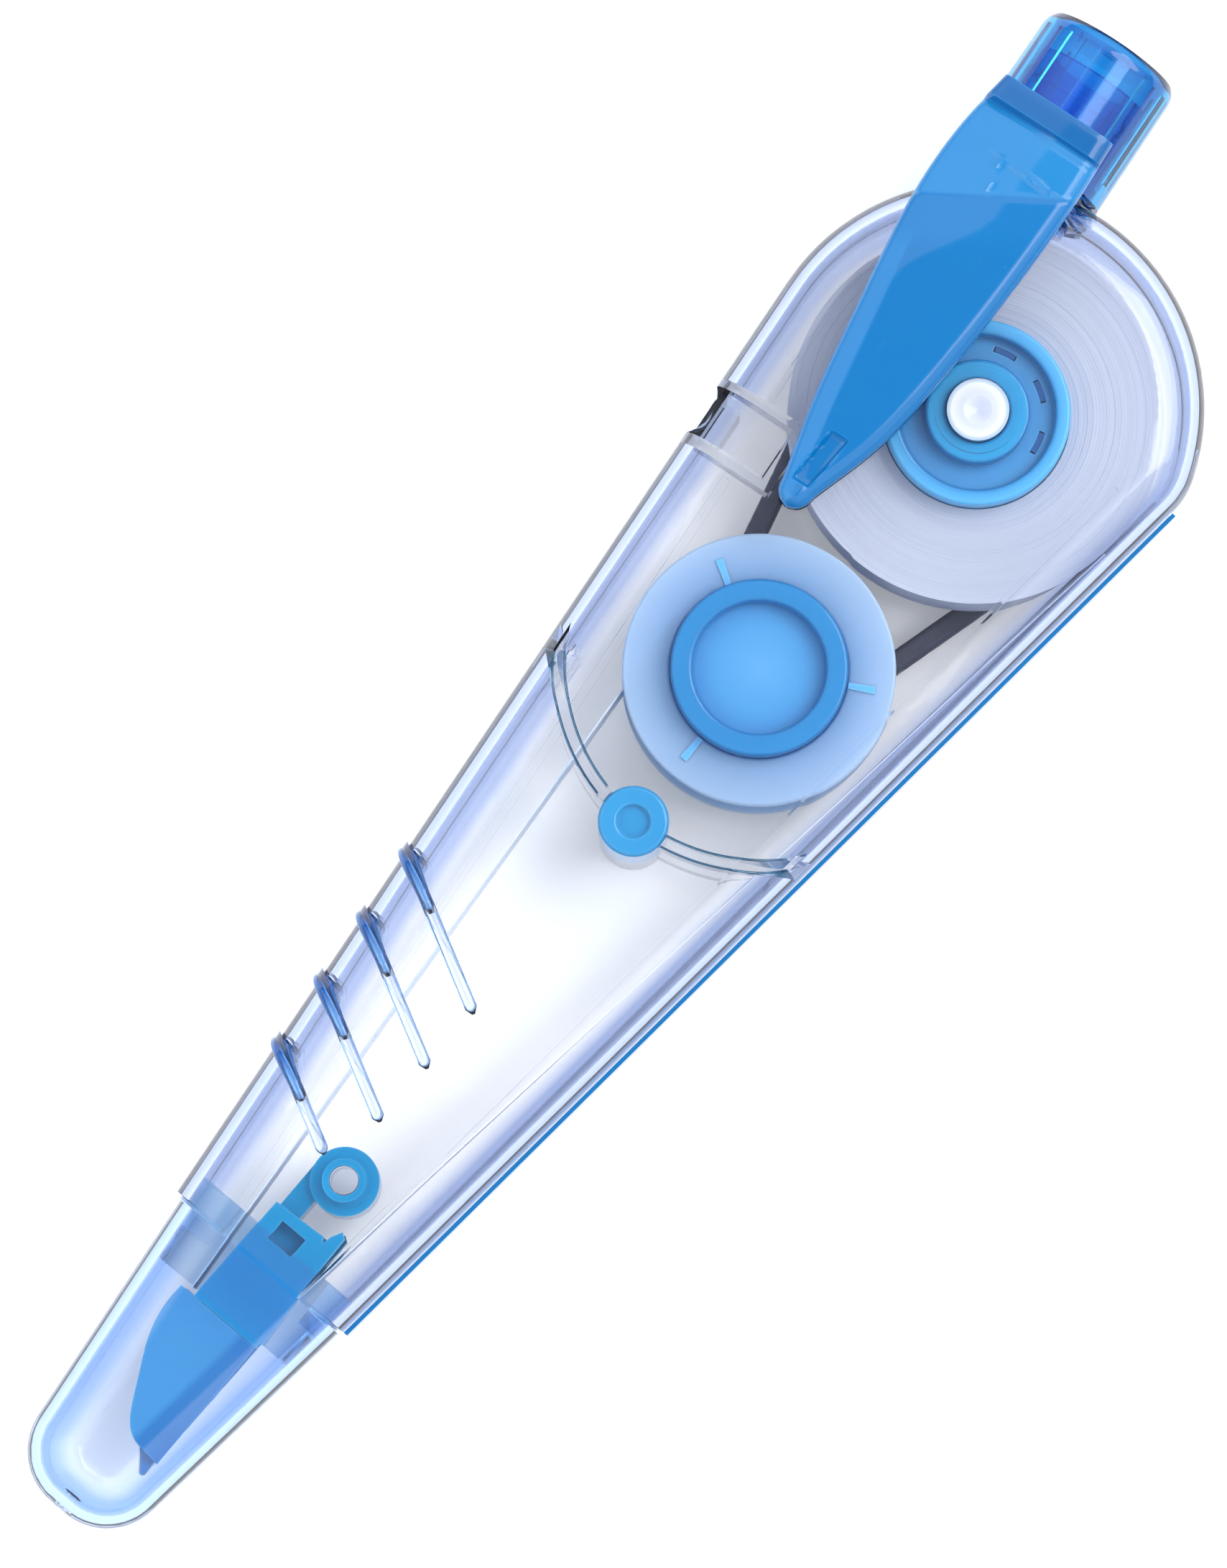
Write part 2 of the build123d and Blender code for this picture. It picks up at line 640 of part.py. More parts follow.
def make_carrier():
    """The holder: an eye on the case's post, an arm, a block with a hook, and a neck."""
    ring = tube(EYE_X, EYE_Y, EYE_RADIUS, MID - EYE_HALF, MID + EYE_HALF)
    ring += tube(EYE_X, EYE_Y, EYE_BOSS, MID - EYE_BOSS_HALF, MID + EYE_BOSS_HALF)
    arm = block(EYE_X - 0.2, 74.5, EYE_Y - EYE_RADIUS, 0.35, 5.0, 9.0)
    core = block(74.1, BLADE_ROOT_X - 0.03, -1.1, 2.65, GUARD_LOW + 0.1, GUARD_HIGH - 0.1)
    core -= block(78.35, 90, -0.63, 2.23, MID - 1.63, MID + 1.63)
    holder = ring + arm + core
    holder += carrier_plate(GUARD_LOW, GUARD_LOW + GUARD)
    holder += carrier_plate(GUARD_HIGH - GUARD, GUARD_HIGH)
    holder -= tube(EYE_X, EYE_Y, EYE_POST + FIT, 0, THICKNESS)
    holder -= block(74.9, 76.5, -0.4, 1.7, 9.0, 11.0)
    return holder


def mouth_solid(inset, x0, x1):
    """A plug that fits the case's mouth, with the case's own section less an inset."""
    low, high = inset, THICKNESS - inset
    form = slab(case_face(inset, x1), low, high)
    form = fillet(level_edges(form, (low, high), x1), max(EDGE_ROUNDING - inset, 1.2))
    return form & block(x0, x1, -20, 20, 0, THICKNESS)


def make_collar():
    """The collar in the mouth: a plug, a thin shoulder, and the spigot that the cap grips."""
    collar = mouth_solid(WALL + FIT, 76.1, MOUTH_X)
    collar += mouth_solid(0.45, MOUTH_X, MOUTH_X + 0.25)
    collar += cap_solid(CAP_WALL + FIT, MOUTH_X + 0.1, COLLAR_END_X)
    slot = block(70, 90, -3.2, 4.75, 3.2, 10.8)
    collar -= slot
    collar -= block(79.6, 90, -5.0, 5.9, 2.6, 11.4)
    return collar


# ------------------------------------------------------------------ tip cap

def cap_flanks(x, inset):
    """Y of the tip cap's spine flank and belly flank at x, drawn in by an inset."""
    spine = CAP_RIM_SPINE + (x - CAP_RIM_X) * math.tan(math.radians(CAP_TAPER_SPINE))
    belly = CAP_RIM_BELLY - (x - CAP_RIM_X) * math.tan(math.radians(CAP_TAPER_BELLY))
    return spine + inset, belly - inset


def cap_face(inset):
    """The tip cap's outline, drawn in by an inset, begun behind its rim."""
    back_x, end_x = CAP_RIM_X - 3, CAP_END_X - inset
    back_spine, back_belly = cap_flanks(back_x, inset)
    end_spine, end_belly = cap_flanks(end_x, inset)
    corners = [(back_x, back_spine), (end_x, end_spine), (end_x, end_belly), (back_x, back_belly)]
    outline = make_face(Polyline(*corners, close=True))
    return fillet(outline.vertices().group_by(Axis.X)[-1], CAP_CORNER - inset)


def cap_solid(inset, x0, x1):
    """The tip cap's rounded form less an inset, cut between two stations."""
    low, high = CAP_BACK_Z + inset, THICKNESS - CAP_BACK_Z - inset
    form = slab(cap_face(inset), low, high)
    form = fillet(level_edges(form, (low, high), CAP_RIM_X - 3), CAP_ROUNDING - inset)
    return form & block(x0, x1, -20, 20, 0, THICKNESS)


def make_tip_cap():
    """The pull-off cap over the head, with a vent in its end."""
    cap = cap_solid(0, CAP_RIM_X, 120) - cap_solid(CAP_WALL, CAP_RIM_X - 1, 120)
    vent = Pos(CAP_END_X, 0.7, MID) * Rot(0, 90, 0) * Cylinder(CAP_VENT_RADIUS, 4)
    return cap - vent


# ------------------------------------------------------------------ end cap and clip

def make_neck_sleeve():
    """The tube clamped in the case's end that the end cap slides on."""
    sleeve = knob_tube(SLEEVE_RADIUS, SLEEVE_LOW, SLEEVE_HIGH, SLEEVE_BORE)
    sleeve += knob_tube(KNOB_BORE - FIT, 5.2, 5.8, SLEEVE_BORE)
    sleeve += knob_tube(KNOB_BORE - FIT, 0.1, 0.9, SLEEVE_BORE)
    return sleeve


def bore_flutes():
    """Shallow grooves along the end cap's bore, spaced evenly round it."""
    high = KNOB_LENGTH - KNOB_ROOF - 0.4
    length = high - FLUTE_LOW
    flutes = None
    for index in range(FLUTE_COUNT):
        bar = Pos(KNOB_BORE - 0.4, 0, 0) * Box(
            0.4 + FLUTE_DEPTH, FLUTE_WIDTH, length, align=(Align.MIN, Align.CENTER, Align.CENTER)
        )
        flute = knob_axis((FLUTE_LOW + high) / 2) * Rot(0, 0, 360 / FLUTE_COUNT * (index + 0.5)) * bar
        flutes = flute if flutes is None else flutes + flute
    return flutes


def make_end_cap():
    """The cap on the end of the case, with the pedestal that carries the clip."""
    body = knob_axis(KNOB_LENGTH / 2) * Cylinder(KNOB_RADIUS, KNOB_LENGTH)
    rim = body.edges().filter_by(GeomType.CIRCLE).sort_by_distance(knob_axis(KNOB_LENGTH).origin)[0]
    body = fillet(rim, KNOB_EDGE)
    body &= knob_axis(KNOB_LENGTH - DOME_RADIUS) * Sphere(DOME_RADIUS)
    seat = knob_axis(0, CLIP_SIDE, 0)
    pedestal = seat * Pos(0, 12.0, 1.55) * Box(8.4, 3.0, 3.1)
    body += pedestal
    body -= knob_tube(KNOB_BORE, -1, KNOB_LENGTH - KNOB_ROOF)
    body -= bore_flutes()
    trough = knob_axis(CLIP_HINGE_S, CLIP_SIDE, CLIP_HINGE_Z) * Rot(0, 90, 0) * Cylinder(
        CLIP_HINGE_RADIUS + 0.08, 12
    )
    return body - trough


def clip_face():
    """The clip's leaf outline in its own plane, from the root to the rounded tip."""
    spine = [(CLIP_ROOT_S, 4.5), (-1.0, 5.2), (-5.0, 5.4), (-9.0, 5.15), (-16.5, 4.1), (-23.0, 3.1)]
    spine.append((-29.2, 1.7))
    belly = [(CLIP_ROOT_S, -4.5), (-2.5, -4.65), (-9.7, -4.4), (-17.0, -3.8), (-23.5, -2.8)]
    belly.append((-29.0, -0.9))
    nose = ThreePointArc(spine[-1], (CLIP_TIP_S, 0.45), belly[-1])
    root = Line(belly[0], spine[0])
    return make_face([Spline(*spine), nose, Spline(*reversed(belly)), root])


def clip_frame(z):
    """A frame for drawing the clip from above: X out of the end, Y towards the spine."""
    a = math.radians(KNOB_TILT)
    side = Vector(math.sin(a), -math.cos(a), 0) * CLIP_SIDE
    return Pos(KNOB_X + side.X, KNOB_Y + side.Y, z) * Rot(0, 0, KNOB_TILT + 180)


def make_clip():
    """The pocket clip: a leaf with a block and barrel at its root and a pad at its tip."""
    leaf = clip_frame(CLIP_LOW) * extrude(clip_face(), amount=CLIP_HIGH - CLIP_LOW, dir=(0, 0, 1))
    leaf = fillet(level_edges(leaf, (CLIP_HIGH,)), CLIP_ROUNDING)
    root = clip_frame(0) * block(-3.0, CLIP_ROOT_S, -4.5, 4.5, CLIP_HINGE_Z + 0.35, CLIP_LOW + 0.3)
    barrel = knob_axis(CLIP_HINGE_S, CLIP_SIDE, CLIP_HINGE_Z) * Rot(0, 90, 0) * Cylinder(
        CLIP_HINGE_RADIUS, BARREL_LENGTH
    )
    leaf += root
    leaf += barrel
    pad = clip_frame(0) * block(-29.2, -25.4, -0.8, 1.0, THICKNESS + 0.12, CLIP_LOW + 0.2)
    return leaf + pad


def main():
    """Builds every piece and writes one STEP per node."""
    os.makedirs("parts", exist_ok=True)
    back, front = make_case()
    pieces = {
        "back_shell": back,
        "front_shell": front,
        "belly_strip": make_belly_strip(),
        "case_pin": make_case_pin(),
        "neck_sleeve": make_neck_sleeve(),
        "nose_collar": make_collar(),
        "supply_axle": make_supply_axle(),
        "drive_belt": make_drive_belt(),
        "tape_feed_run": make_feed_run(),
        "tape_return_run": make_return_run(),
        "supply_core": make_supply_core(),
        "tape_roll": make_tape_roll(),
        "drive_pulley": make_drive_pulley(),
        "clutch_washer": make_clutch_washer(),
        "takeup_core": make_takeup_core(),
        "takeup_front_flange": make_takeup_front_flange(),
        "takeup_back_flange": make_takeup_back_flange(),
        "takeup_liner": make_takeup_liner(),
        "head_carrier": make_carrier(),
        "applicator_blade": make_blade(),
        "tape_tip_loop": make_tip_loop(),
        "tip_cap": make_tip_cap(),
        "end_cap": make_end_cap(),
        "pocket_clip": make_clip(),
    }
    for name, piece in pieces.items():
        export_step(piece, f"parts/{name}.step")


main()
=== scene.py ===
"""A pen-shaped correction tape roller: finishes, hand-made pieces, floor, light and camera.

Lengths are in metres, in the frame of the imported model: the supply reel's axis is the origin,
+X runs to the nose, +Y to the belly edge and +Z up through the front face.
"""

import logging
import math
import random
from dataclasses import dataclass, field
from enum import Enum
from typing import Callable, Sequence

import bmesh
import bpy
from mathutils import Matrix, Vector


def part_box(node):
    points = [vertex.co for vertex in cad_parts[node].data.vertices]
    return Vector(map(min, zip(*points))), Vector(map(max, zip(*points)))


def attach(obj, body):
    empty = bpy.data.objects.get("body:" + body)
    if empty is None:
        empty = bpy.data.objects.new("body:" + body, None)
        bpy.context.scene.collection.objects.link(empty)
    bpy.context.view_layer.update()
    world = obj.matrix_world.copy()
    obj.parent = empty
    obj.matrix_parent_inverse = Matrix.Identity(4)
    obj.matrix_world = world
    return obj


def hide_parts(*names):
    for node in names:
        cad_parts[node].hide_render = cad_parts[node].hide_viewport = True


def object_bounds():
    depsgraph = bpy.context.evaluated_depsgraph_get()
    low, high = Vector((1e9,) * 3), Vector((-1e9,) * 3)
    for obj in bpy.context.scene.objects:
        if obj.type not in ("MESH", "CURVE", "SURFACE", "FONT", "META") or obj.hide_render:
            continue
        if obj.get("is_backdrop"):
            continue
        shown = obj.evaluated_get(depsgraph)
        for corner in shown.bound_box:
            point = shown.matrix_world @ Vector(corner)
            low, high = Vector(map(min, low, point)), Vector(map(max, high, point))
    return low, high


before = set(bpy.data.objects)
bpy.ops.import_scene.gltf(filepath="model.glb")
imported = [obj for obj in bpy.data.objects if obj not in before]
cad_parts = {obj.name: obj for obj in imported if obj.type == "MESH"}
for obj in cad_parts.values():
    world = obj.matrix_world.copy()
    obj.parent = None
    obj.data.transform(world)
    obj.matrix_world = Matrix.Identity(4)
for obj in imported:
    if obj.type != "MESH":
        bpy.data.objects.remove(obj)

MM = 0.001
Colour = tuple[float, float, float]
Socket = bpy.types.NodeSocket
log = logging.getLogger("tape_roller")

# The case and reels, in millimetres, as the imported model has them.
TAKEUP_X = 23.77
CASE_THICKNESS = 14.0
CASE_MIDDLE = CASE_THICKNESS / 2
CASE_ROUNDING = 3.8
CASE_CENTRE = (-0.4, -0.3)
CASE_END_RADIUS = 16.1
SPINE_ANGLE = math.radians(6.6)
GRIP_ANGLE = math.radians(27.0)
SLOT_ANGLES = (105, 150, 195, 240)
SPOKE_ANGLES = (0, 120, 240)


# ---------------------------------------------------------------- choices


class Body(Enum):
    """The rigid bodies that pieces ride on."""

    ROOT = "root"
    SUPPLY = "supply_reel"
    PULLEY = "pulley"
    TAKEUP = "takeup_reel"
    HEAD = "head"
    CAP = "cap"
    END = "end"
    CLIP = "clip"


class Sheen(Enum):
    """How polished a moulded surface is, as its roughness."""

    MIRROR = 0.035
    GLOSS = 0.14
    SATIN = 0.30
    MATT = 0.62


# ---------------------------------------------------------------- shader graphs


@dataclass
class Graph:
    """A thin helper for placing and joining nodes in one node tree."""

    tree: bpy.types.NodeTree

    def add(self, kind: str, **settings: object) -> bpy.types.Node:
        """Adds a node.

        Args:
            kind: The node's Blender type name.
            settings: Attributes to set on it.

        Returns:
            The new node.
        """
        node = self.tree.nodes.new(kind)
        for name, value in settings.items():
            setattr(node, name, value)
        return node

    def feed(self, value: object, socket: Socket) -> None:
        """Joins a socket to another, or sets a plain value on it."""
        if isinstance(value, bpy.types.NodeSocket):
            self.tree.links.new(value, socket)
        else:
            socket.default_value = value

    def maths(self, operation: str, *values: object, clamp: bool = False) -> Socket:
        """Adds a Math node.

        Args:
            operation: The Math node's operation.
            values: Sockets or numbers for its inputs, in order.
            clamp: Whether the result is held between 0 and 1.

        Returns:
            The result's socket.
        """
        node = self.add("ShaderNodeMath", operation=operation, use_clamp=clamp)
        for value, socket in zip(values, node.inputs):
            self.feed(value, socket)
        return node.outputs[0]

    def noise(self, where: Socket, scale: object, detail: float, rough: float = 0.5) -> Socket:
        """Adds a noise texture.

        Args:
            where: The coordinates it reads.
            scale: Cells per metre, a socket or a number.
            detail: Octaves.
            rough: How strong the finer octaves are.

        Returns:
            The noise value's socket.
        """
        node = self.add("ShaderNodeTexNoise")
        self.feed(where, node.inputs["Vector"])
        self.feed(scale, node.inputs["Scale"])
        node.inputs["Detail"].default_value = detail
        node.inputs["Roughness"].default_value = rough
        return node.outputs[0]

    def spread(self, value: Socket, low: object, high: object, to_low: object, to_high: object) -> Socket:
        """Maps a value from one range to another, held at both ends.

        Args:
            value: What is mapped.
            low: The start of the range read.
            high: The end of the range read.
            to_low: The result at the start.
            to_high: The result at the end.

        Returns:
            The mapped value's socket.
        """
        node = self.add("ShaderNodeMapRange", clamp=True)
        for item, socket in zip((value, low, high, to_low, to_high), node.inputs):
            self.feed(item, socket)
        return node.outputs[0]

    def blend(self, share: object, first: object, second: object) -> Socket:
        """Mixes two colours.

        Args:
            share: How much of the second, a socket or a number.
            first: The colour at a share of 0.
            second: The colour at a share of 1.

        Returns:
            The mixed colour's socket.
        """
        node = self.add("ShaderNodeMix", data_type="RGBA")
        self.feed(share, node.inputs[0])
        self.feed(first, node.inputs[6])
        self.feed(second, node.inputs[7])
        return node.outputs[2]


def rgba(colour: Colour) -> tuple[float, float, float, float]:
    """A colour with full alpha."""
    return (*colour, 1.0)


def new_group(name: str, inputs: dict[str, object], outputs: dict[str, str]) -> tuple[Graph, dict, dict]:
    """Makes an empty shader node group.

    Args:
        name: The group's name.
        inputs: Input names with their default: a number, or a colour's four numbers.
        outputs: Output names with their socket type.

    Returns:
        The group's graph, its input sockets by name and its output sockets by name.
    """
    tree = bpy.data.node_groups.new(name, "ShaderNodeTree")
    for label, default in inputs.items():
        kind = "NodeSocketFloat" if isinstance(default, (int, float)) else "NodeSocketColor"
        socket = tree.interface.new_socket(label, in_out="INPUT", socket_type=kind)
        socket.default_value = default
    for label, kind in outputs.items():
        tree.interface.new_socket(label, in_out="OUTPUT", socket_type=kind)
    graph = Graph(tree)
    start, end = graph.add("NodeGroupInput"), graph.add("NodeGroupOutput")
    takes = {label: start.outputs[label] for label in inputs}
    gives = {label: end.inputs[label] for label in outputs}
    return graph, takes, gives


@dataclass
class Effects:
    """The node groups that several finishes share, each built once."""

    built: dict[str, bpy.types.NodeTree] = field(default_factory=dict)

    def get(self, name: str, build: Callable[[], bpy.types.NodeTree]) -> bpy.types.NodeTree:
        """Returns a group, building it the first time."""
        if name not in self.built:
            self.built[name] = build()
        return self.built[name]

    def place(self, graph: Graph, tree: bpy.types.NodeTree, **values: object) -> bpy.types.Node:
        """Places a group in a graph.

        Args:
            graph: The graph it goes in.
            tree: The group.
            values: Input values by name, with underscores for spaces.

        Returns:
            The group node.
        """
        node = graph.add("ShaderNodeGroup", node_tree=tree)
        for label, value in values.items():
            graph.feed(value, node.inputs[label.replace("_", " ")])
        return node

    def moulding(self) -> bpy.types.NodeTree:
        """The small unevenness of a moulded skin: flow, grain and handling marks.

        Returns:
            A group that gives a colour, a roughness and a height.
        """
        return self.get("MouldedSkin", self._build_moulding)

    def _build_moulding(self) -> bpy.types.NodeTree:
        """Builds the moulded skin group."""
        inputs = {
            "Colour": (0.8, 0.8, 0.8, 1.0),
            "Deep Colour": (0.7, 0.7, 0.7, 1.0),
            "Roughness": 0.2,
            "Flow": 90.0,
            "Mottle": 0.3,
            "Grain": 3000.0,
            "Scuff": 0.1,
        }
        outputs = {
            "Colour": "NodeSocketColor",
            "Roughness": "NodeSocketFloat",
            "Height": "NodeSocketFloat",
        }
        graph, takes, gives = new_group("MouldedSkin", inputs, outputs)
        where = graph.add("ShaderNodeTexCoord").outputs["Object"]
        flow = graph.noise(where, takes["Flow"], 3.0, 0.55)
        share = graph.spread(flow, 0.35, 0.7, 0.0, takes["Mottle"])
        graph.feed(graph.blend(share, takes["Colour"], takes["Deep Colour"]), gives["Colour"])
        streaks = graph.add("ShaderNodeMapping")
        graph.feed(where, streaks.inputs["Vector"])
        streaks.inputs["Rotation"].default_value = (0.2, 0.4, 0.6)
        streaks.inputs["Scale"].default_value = (1.0, 14.0, 14.0)
        marks = graph.noise(streaks.outputs[0], 420.0, 5.0, 0.65)
        marks = graph.spread(marks, 0.60, 0.74, 0.0, takes["Scuff"])
        grain = graph.noise(where, takes["Grain"], 2.0, 0.6)
        rough = graph.maths("MULTIPLY_ADD", graph.maths("SUBTRACT", flow, 0.5), 0.06, takes["Roughness"])
        graph.feed(graph.maths("ADD", rough, marks, clamp=True), gives["Roughness"])
        height = graph.maths("MULTIPLY_ADD", flow, 1.5, graph.maths("MULTIPLY", grain, 0.18))
        graph.feed(graph.maths("MULTIPLY_ADD", marks, -0.6, height), gives["Height"])
        return graph.tree

    def edges(self) -> bpy.types.NodeTree:
        """A mask of sharp edges, where a lighter colour is laid in as a painted highlight.

        Returns:
            A group that gives a mask and a colour.
        """
        return self.get("PaintedEdgeHighlight", self._build_painted_edge_highlight)

    def _build_painted_edge_highlight(self) -> bpy.types.NodeTree:
        """Builds the painted edge highlight group."""
        inputs = {
            "Colour": (0.8, 0.8, 0.8, 1.0),
            "Edge Colour": (0.9, 0.9, 0.9, 1.0),
            "Amount": 0.5,
            "Width": 0.0003,
        }
        outputs = {"Colour": "NodeSocketColor", "Mask": "NodeSocketFloat"}
        graph, takes, gives = new_group("PaintedEdgeHighlight", inputs, outputs)
        soft = graph.add("ShaderNodeBevel", samples=4)
        graph.feed(takes["Width"], soft.inputs["Radius"])
        true = graph.add("ShaderNodeNewGeometry").outputs["Normal"]
        meet = graph.add("ShaderNodeVectorMath", operation="DOT_PRODUCT")
        graph.feed(soft.outputs[0], meet.inputs[0])
        graph.feed(true, meet.inputs[1])
        mask = graph.spread(meet.outputs["Value"], 0.80, 0.995, takes["Amount"], 0.0)
        graph.feed(mask, gives["Mask"])
        graph.feed(graph.blend(mask, takes["Colour"], takes["Edge Colour"]), gives["Colour"])
        return graph.tree

    def dust(self) -> bpy.types.NodeTree:
        """Sparse fine specks.

        Returns:
            A group that gives a mask.
        """
        return self.get("FineDust", self._build_dust)

    def _build_dust(self) -> bpy.types.NodeTree:
        """Builds the fine dust group."""
        graph, takes, gives = new_group("FineDust", {"Amount": 0.2}, {"Mask": "NodeSocketFloat"})
        where = graph.add("ShaderNodeTexCoord").outputs["Object"]
        cells = graph.add("ShaderNodeTexVoronoi", feature="F1")
        graph.feed(where, cells.inputs["Vector"])
        cells.inputs["Scale"].default_value = 900.0
        speck = graph.spread(cells.outputs["Distance"], 0.04, 0.10, 1.0, 0.0)
        patch = graph.spread(graph.noise(where, 160.0, 2.0), 0.52, 0.68, 0.0, 1.0)
        mask = graph.maths("MULTIPLY", graph.maths("MULTIPLY", speck, patch), takes["Amount"])
        graph.feed(mask, gives["Mask"])
        return graph.tree

    def sides(self) -> bpy.types.NodeTree:
        """Painted shade for the walls that stand on edge: a clear moulding's colour is darkened there, in
        place of the darker surroundings those walls refract.

        Returns:
            A group that gives a colour and a mask.
        """
        return self.get("PaintedSideShade", self._build_painted_side_shade)

    def _build_painted_side_shade(self) -> bpy.types.NodeTree:
        """Builds the painted side shade group."""
        inputs = {"Colour": (1.0, 1.0, 1.0, 1.0), "Side Colour": (0.6, 0.7, 0.9, 1.0)}
        outputs = {"Colour": "NodeSocketColor", "Mask": "NodeSocketFloat"}
        graph, takes, gives = new_group("PaintedSideShade", inputs, outputs)
        split = graph.add("ShaderNodeSeparateXYZ")
        graph.feed(graph.add("ShaderNodeNewGeometry").outputs["Normal"], split.inputs[0])
        level = graph.maths("ABSOLUTE", split.outputs[2])
        mask = graph.spread(level, 0.62, 0.998, 1.0, 0.0)
        graph.feed(mask, gives["Mask"])
        graph.feed(graph.blend(mask, takes["Colour"], takes["Side Colour"]), gives["Colour"])
        return graph.tree

    def reach(self) -> bpy.types.NodeTree:
        """The distance from an axis along Z.

        Returns:
            A group that gives the distance in metres.
        """
        return self.get("AxisDistance", self._build_reach)

    def _build_reach(self) -> bpy.types.NodeTree:
        """Builds the axis distance group."""
        inputs = {"Axis X": 0.0, "Axis Y": 0.0}
        graph, takes, gives = new_group("AxisDistance", inputs, {"Distance": "NodeSocketFloat"})
        split = graph.add("ShaderNodeSeparateXYZ")
        graph.feed(graph.add("ShaderNodeTexCoord").outputs["Object"], split.inputs[0])
        dx = graph.maths("SUBTRACT", split.outputs[0], takes["Axis X"])
        dy = graph.maths("SUBTRACT", split.outputs[1], takes["Axis Y"])
        squares = graph.maths("ADD", graph.maths("MULTIPLY", dx, dx), graph.maths("MULTIPLY", dy, dy))
        graph.feed(graph.maths("SQRT", squares), gives["Distance"])
        return graph.tree

    def winding(self) -> bpy.types.NodeTree:
        """Rings about an axis along Z, for the edges of wound tape.

        Returns:
            A group that gives a mask of layers and a height.
        """
        return self.get("WoundLayers", self._build_winding)

    def _build_winding(self) -> bpy.types.NodeTree:
        """Builds the wound layers group."""
        inputs = {"Axis X": 0.0, "Axis Y": 0.0, "Pitch": 0.0002, "Waver": 0.2}
        outputs = {"Layers": "NodeSocketFloat", "Bands": "NodeSocketFloat", "Height": "NodeSocketFloat"}
        graph, takes, gives = new_group("WoundLayers", inputs, outputs)
        where = graph.add("ShaderNodeTexCoord").outputs["Object"]
        reach = self.place(graph, self.reach(), Axis_X=takes["Axis X"], Axis_Y=takes["Axis Y"])
        turns = graph.maths("DIVIDE", reach.outputs[0], takes["Pitch"])
        waver = graph.maths("MULTIPLY", graph.noise(where, 70.0, 2.0), takes["Waver"])
        turns = graph.maths("ADD", turns, graph.maths("MULTIPLY", waver, 6.0))
        fine = graph.maths("SINE", graph.maths("MULTIPLY", turns, 2 * math.pi))
        fine = graph.spread(fine, -1.0, 1.0, 0.0, 1.0)
        line = graph.add("ShaderNodeTexNoise", noise_dimensions="1D")
        graph.feed(turns, line.inputs["W"])
        line.inputs["Scale"].default_value = 0.21
        line.inputs["Detail"].default_value = 4.0
        graph.feed(fine, gives["Layers"])
        graph.feed(line.outputs[0], gives["Bands"])
        ripple = graph.maths("MULTIPLY", fine, 0.35)
        graph.feed(graph.maths("MULTIPLY_ADD", line.outputs[0], 1.6, ripple), gives["Height"])
        return graph.tree


EFFECTS = Effects()


def start_material(name: str) -> tuple[bpy.types.Material, Graph, bpy.types.Node, bpy.types.Node]:
    """Makes a material with one Principled shader.

    Args:
        name: The material's name.

    Returns:
        The material, its graph, its Principled node and its output node.
    """
    material = bpy.data.materials.new(f"{name} paint")
    material.use_nodes = True
    graph = Graph(material.node_tree)
    graph.tree.nodes.clear()
    shader = graph.add("ShaderNodeBsdfPrincipled")
    output = graph.add("ShaderNodeOutputMaterial")
    graph.feed(shader.outputs[0], output.inputs["Surface"])
    return material, graph, shader, output


def bump(graph: Graph, shader: bpy.types.Node, height: Socket, depth: float, strength: float = 1.0) -> None:
    """Feeds a height into a shader's normal.

    Args:
        graph: The material's graph.
        shader: The shader.
        height: The height's socket.
        depth: What a height of 1 stands for, in metres.
        strength: The Bump node's strength.
    """
    node = graph.add("ShaderNodeBump")
    node.inputs["Strength"].default_value = strength
    node.inputs["Distance"].default_value = depth
    graph.feed(height, node.inputs["Height"])
    graph.feed(node.outputs[0], shader.inputs["Normal"])


# ---------------------------------------------------------------- finishes


@dataclass(frozen=True)
class ClearPlastic:
    """A see-through moulding, with painted shade darkening its colour on the walls that stand on edge."""

    name: str
    tint: Colour
    # painted shade: the darker colour laid on the walls that stand on edge
    side: Colour
    depth_colour: Colour
    density: float
    lamp_tint: Colour
    roughness: float = Sheen.MIRROR.value
    ior: float = 1.49
    ripple: float = 0.000012

    def build(self) -> bpy.types.Material:
        """Makes the material.

        Returns:
            The material, which lets lamps through so that what is inside is lit.
        """
        material, graph, shader, output = start_material(self.name)
        skin = EFFECTS.place(
            graph,
            EFFECTS.moulding(),
            Colour=rgba(self.tint),
            Deep_Colour=rgba(tuple(0.93 * c for c in self.tint)),
            Roughness=self.roughness,
            Flow=55.0,
            Mottle=0.5,
            Grain=900.0,
            Scuff=0.09,
        )
        dust = EFFECTS.place(graph, EFFECTS.dust(), Amount=0.16)
        rough = graph.maths("ADD", skin.outputs["Roughness"], dust.outputs["Mask"], clamp=True)
        # painted shade: walls that stand on edge take the darker side colour
        painted_side_shade = EFFECTS.place(
            graph, EFFECTS.sides(), Colour=skin.outputs["Colour"], Side_Colour=rgba(self.side)
        )
        graph.feed(painted_side_shade.outputs["Colour"], shader.inputs["Base Color"])
        graph.feed(rough, shader.inputs["Roughness"])
        shader.inputs["IOR"].default_value = self.ior
        shader.inputs["Transmission Weight"].default_value = 1.0
        bump(graph, shader, skin.outputs["Height"], self.ripple, 0.6)
        through = graph.add("ShaderNodeBsdfTransparent")
        through.inputs[0].default_value = rgba(self.lamp_tint)
        path = graph.add("ShaderNodeLightPath")
        mix = graph.add("ShaderNodeMixShader")
        graph.feed(path.outputs["Is Shadow Ray"], mix.inputs[0])
        graph.feed(shader.outputs[0], mix.inputs[1])
        graph.feed(through.outputs[0], mix.inputs[2])
        graph.feed(mix.outputs[0], output.inputs["Surface"])
        inside = graph.add("ShaderNodeVolumeAbsorption")
        inside.inputs["Color"].default_value = rgba(self.depth_colour)
        inside.inputs["Density"].default_value = self.density
        graph.feed(inside.outputs[0], output.inputs["Volume"])
        return material


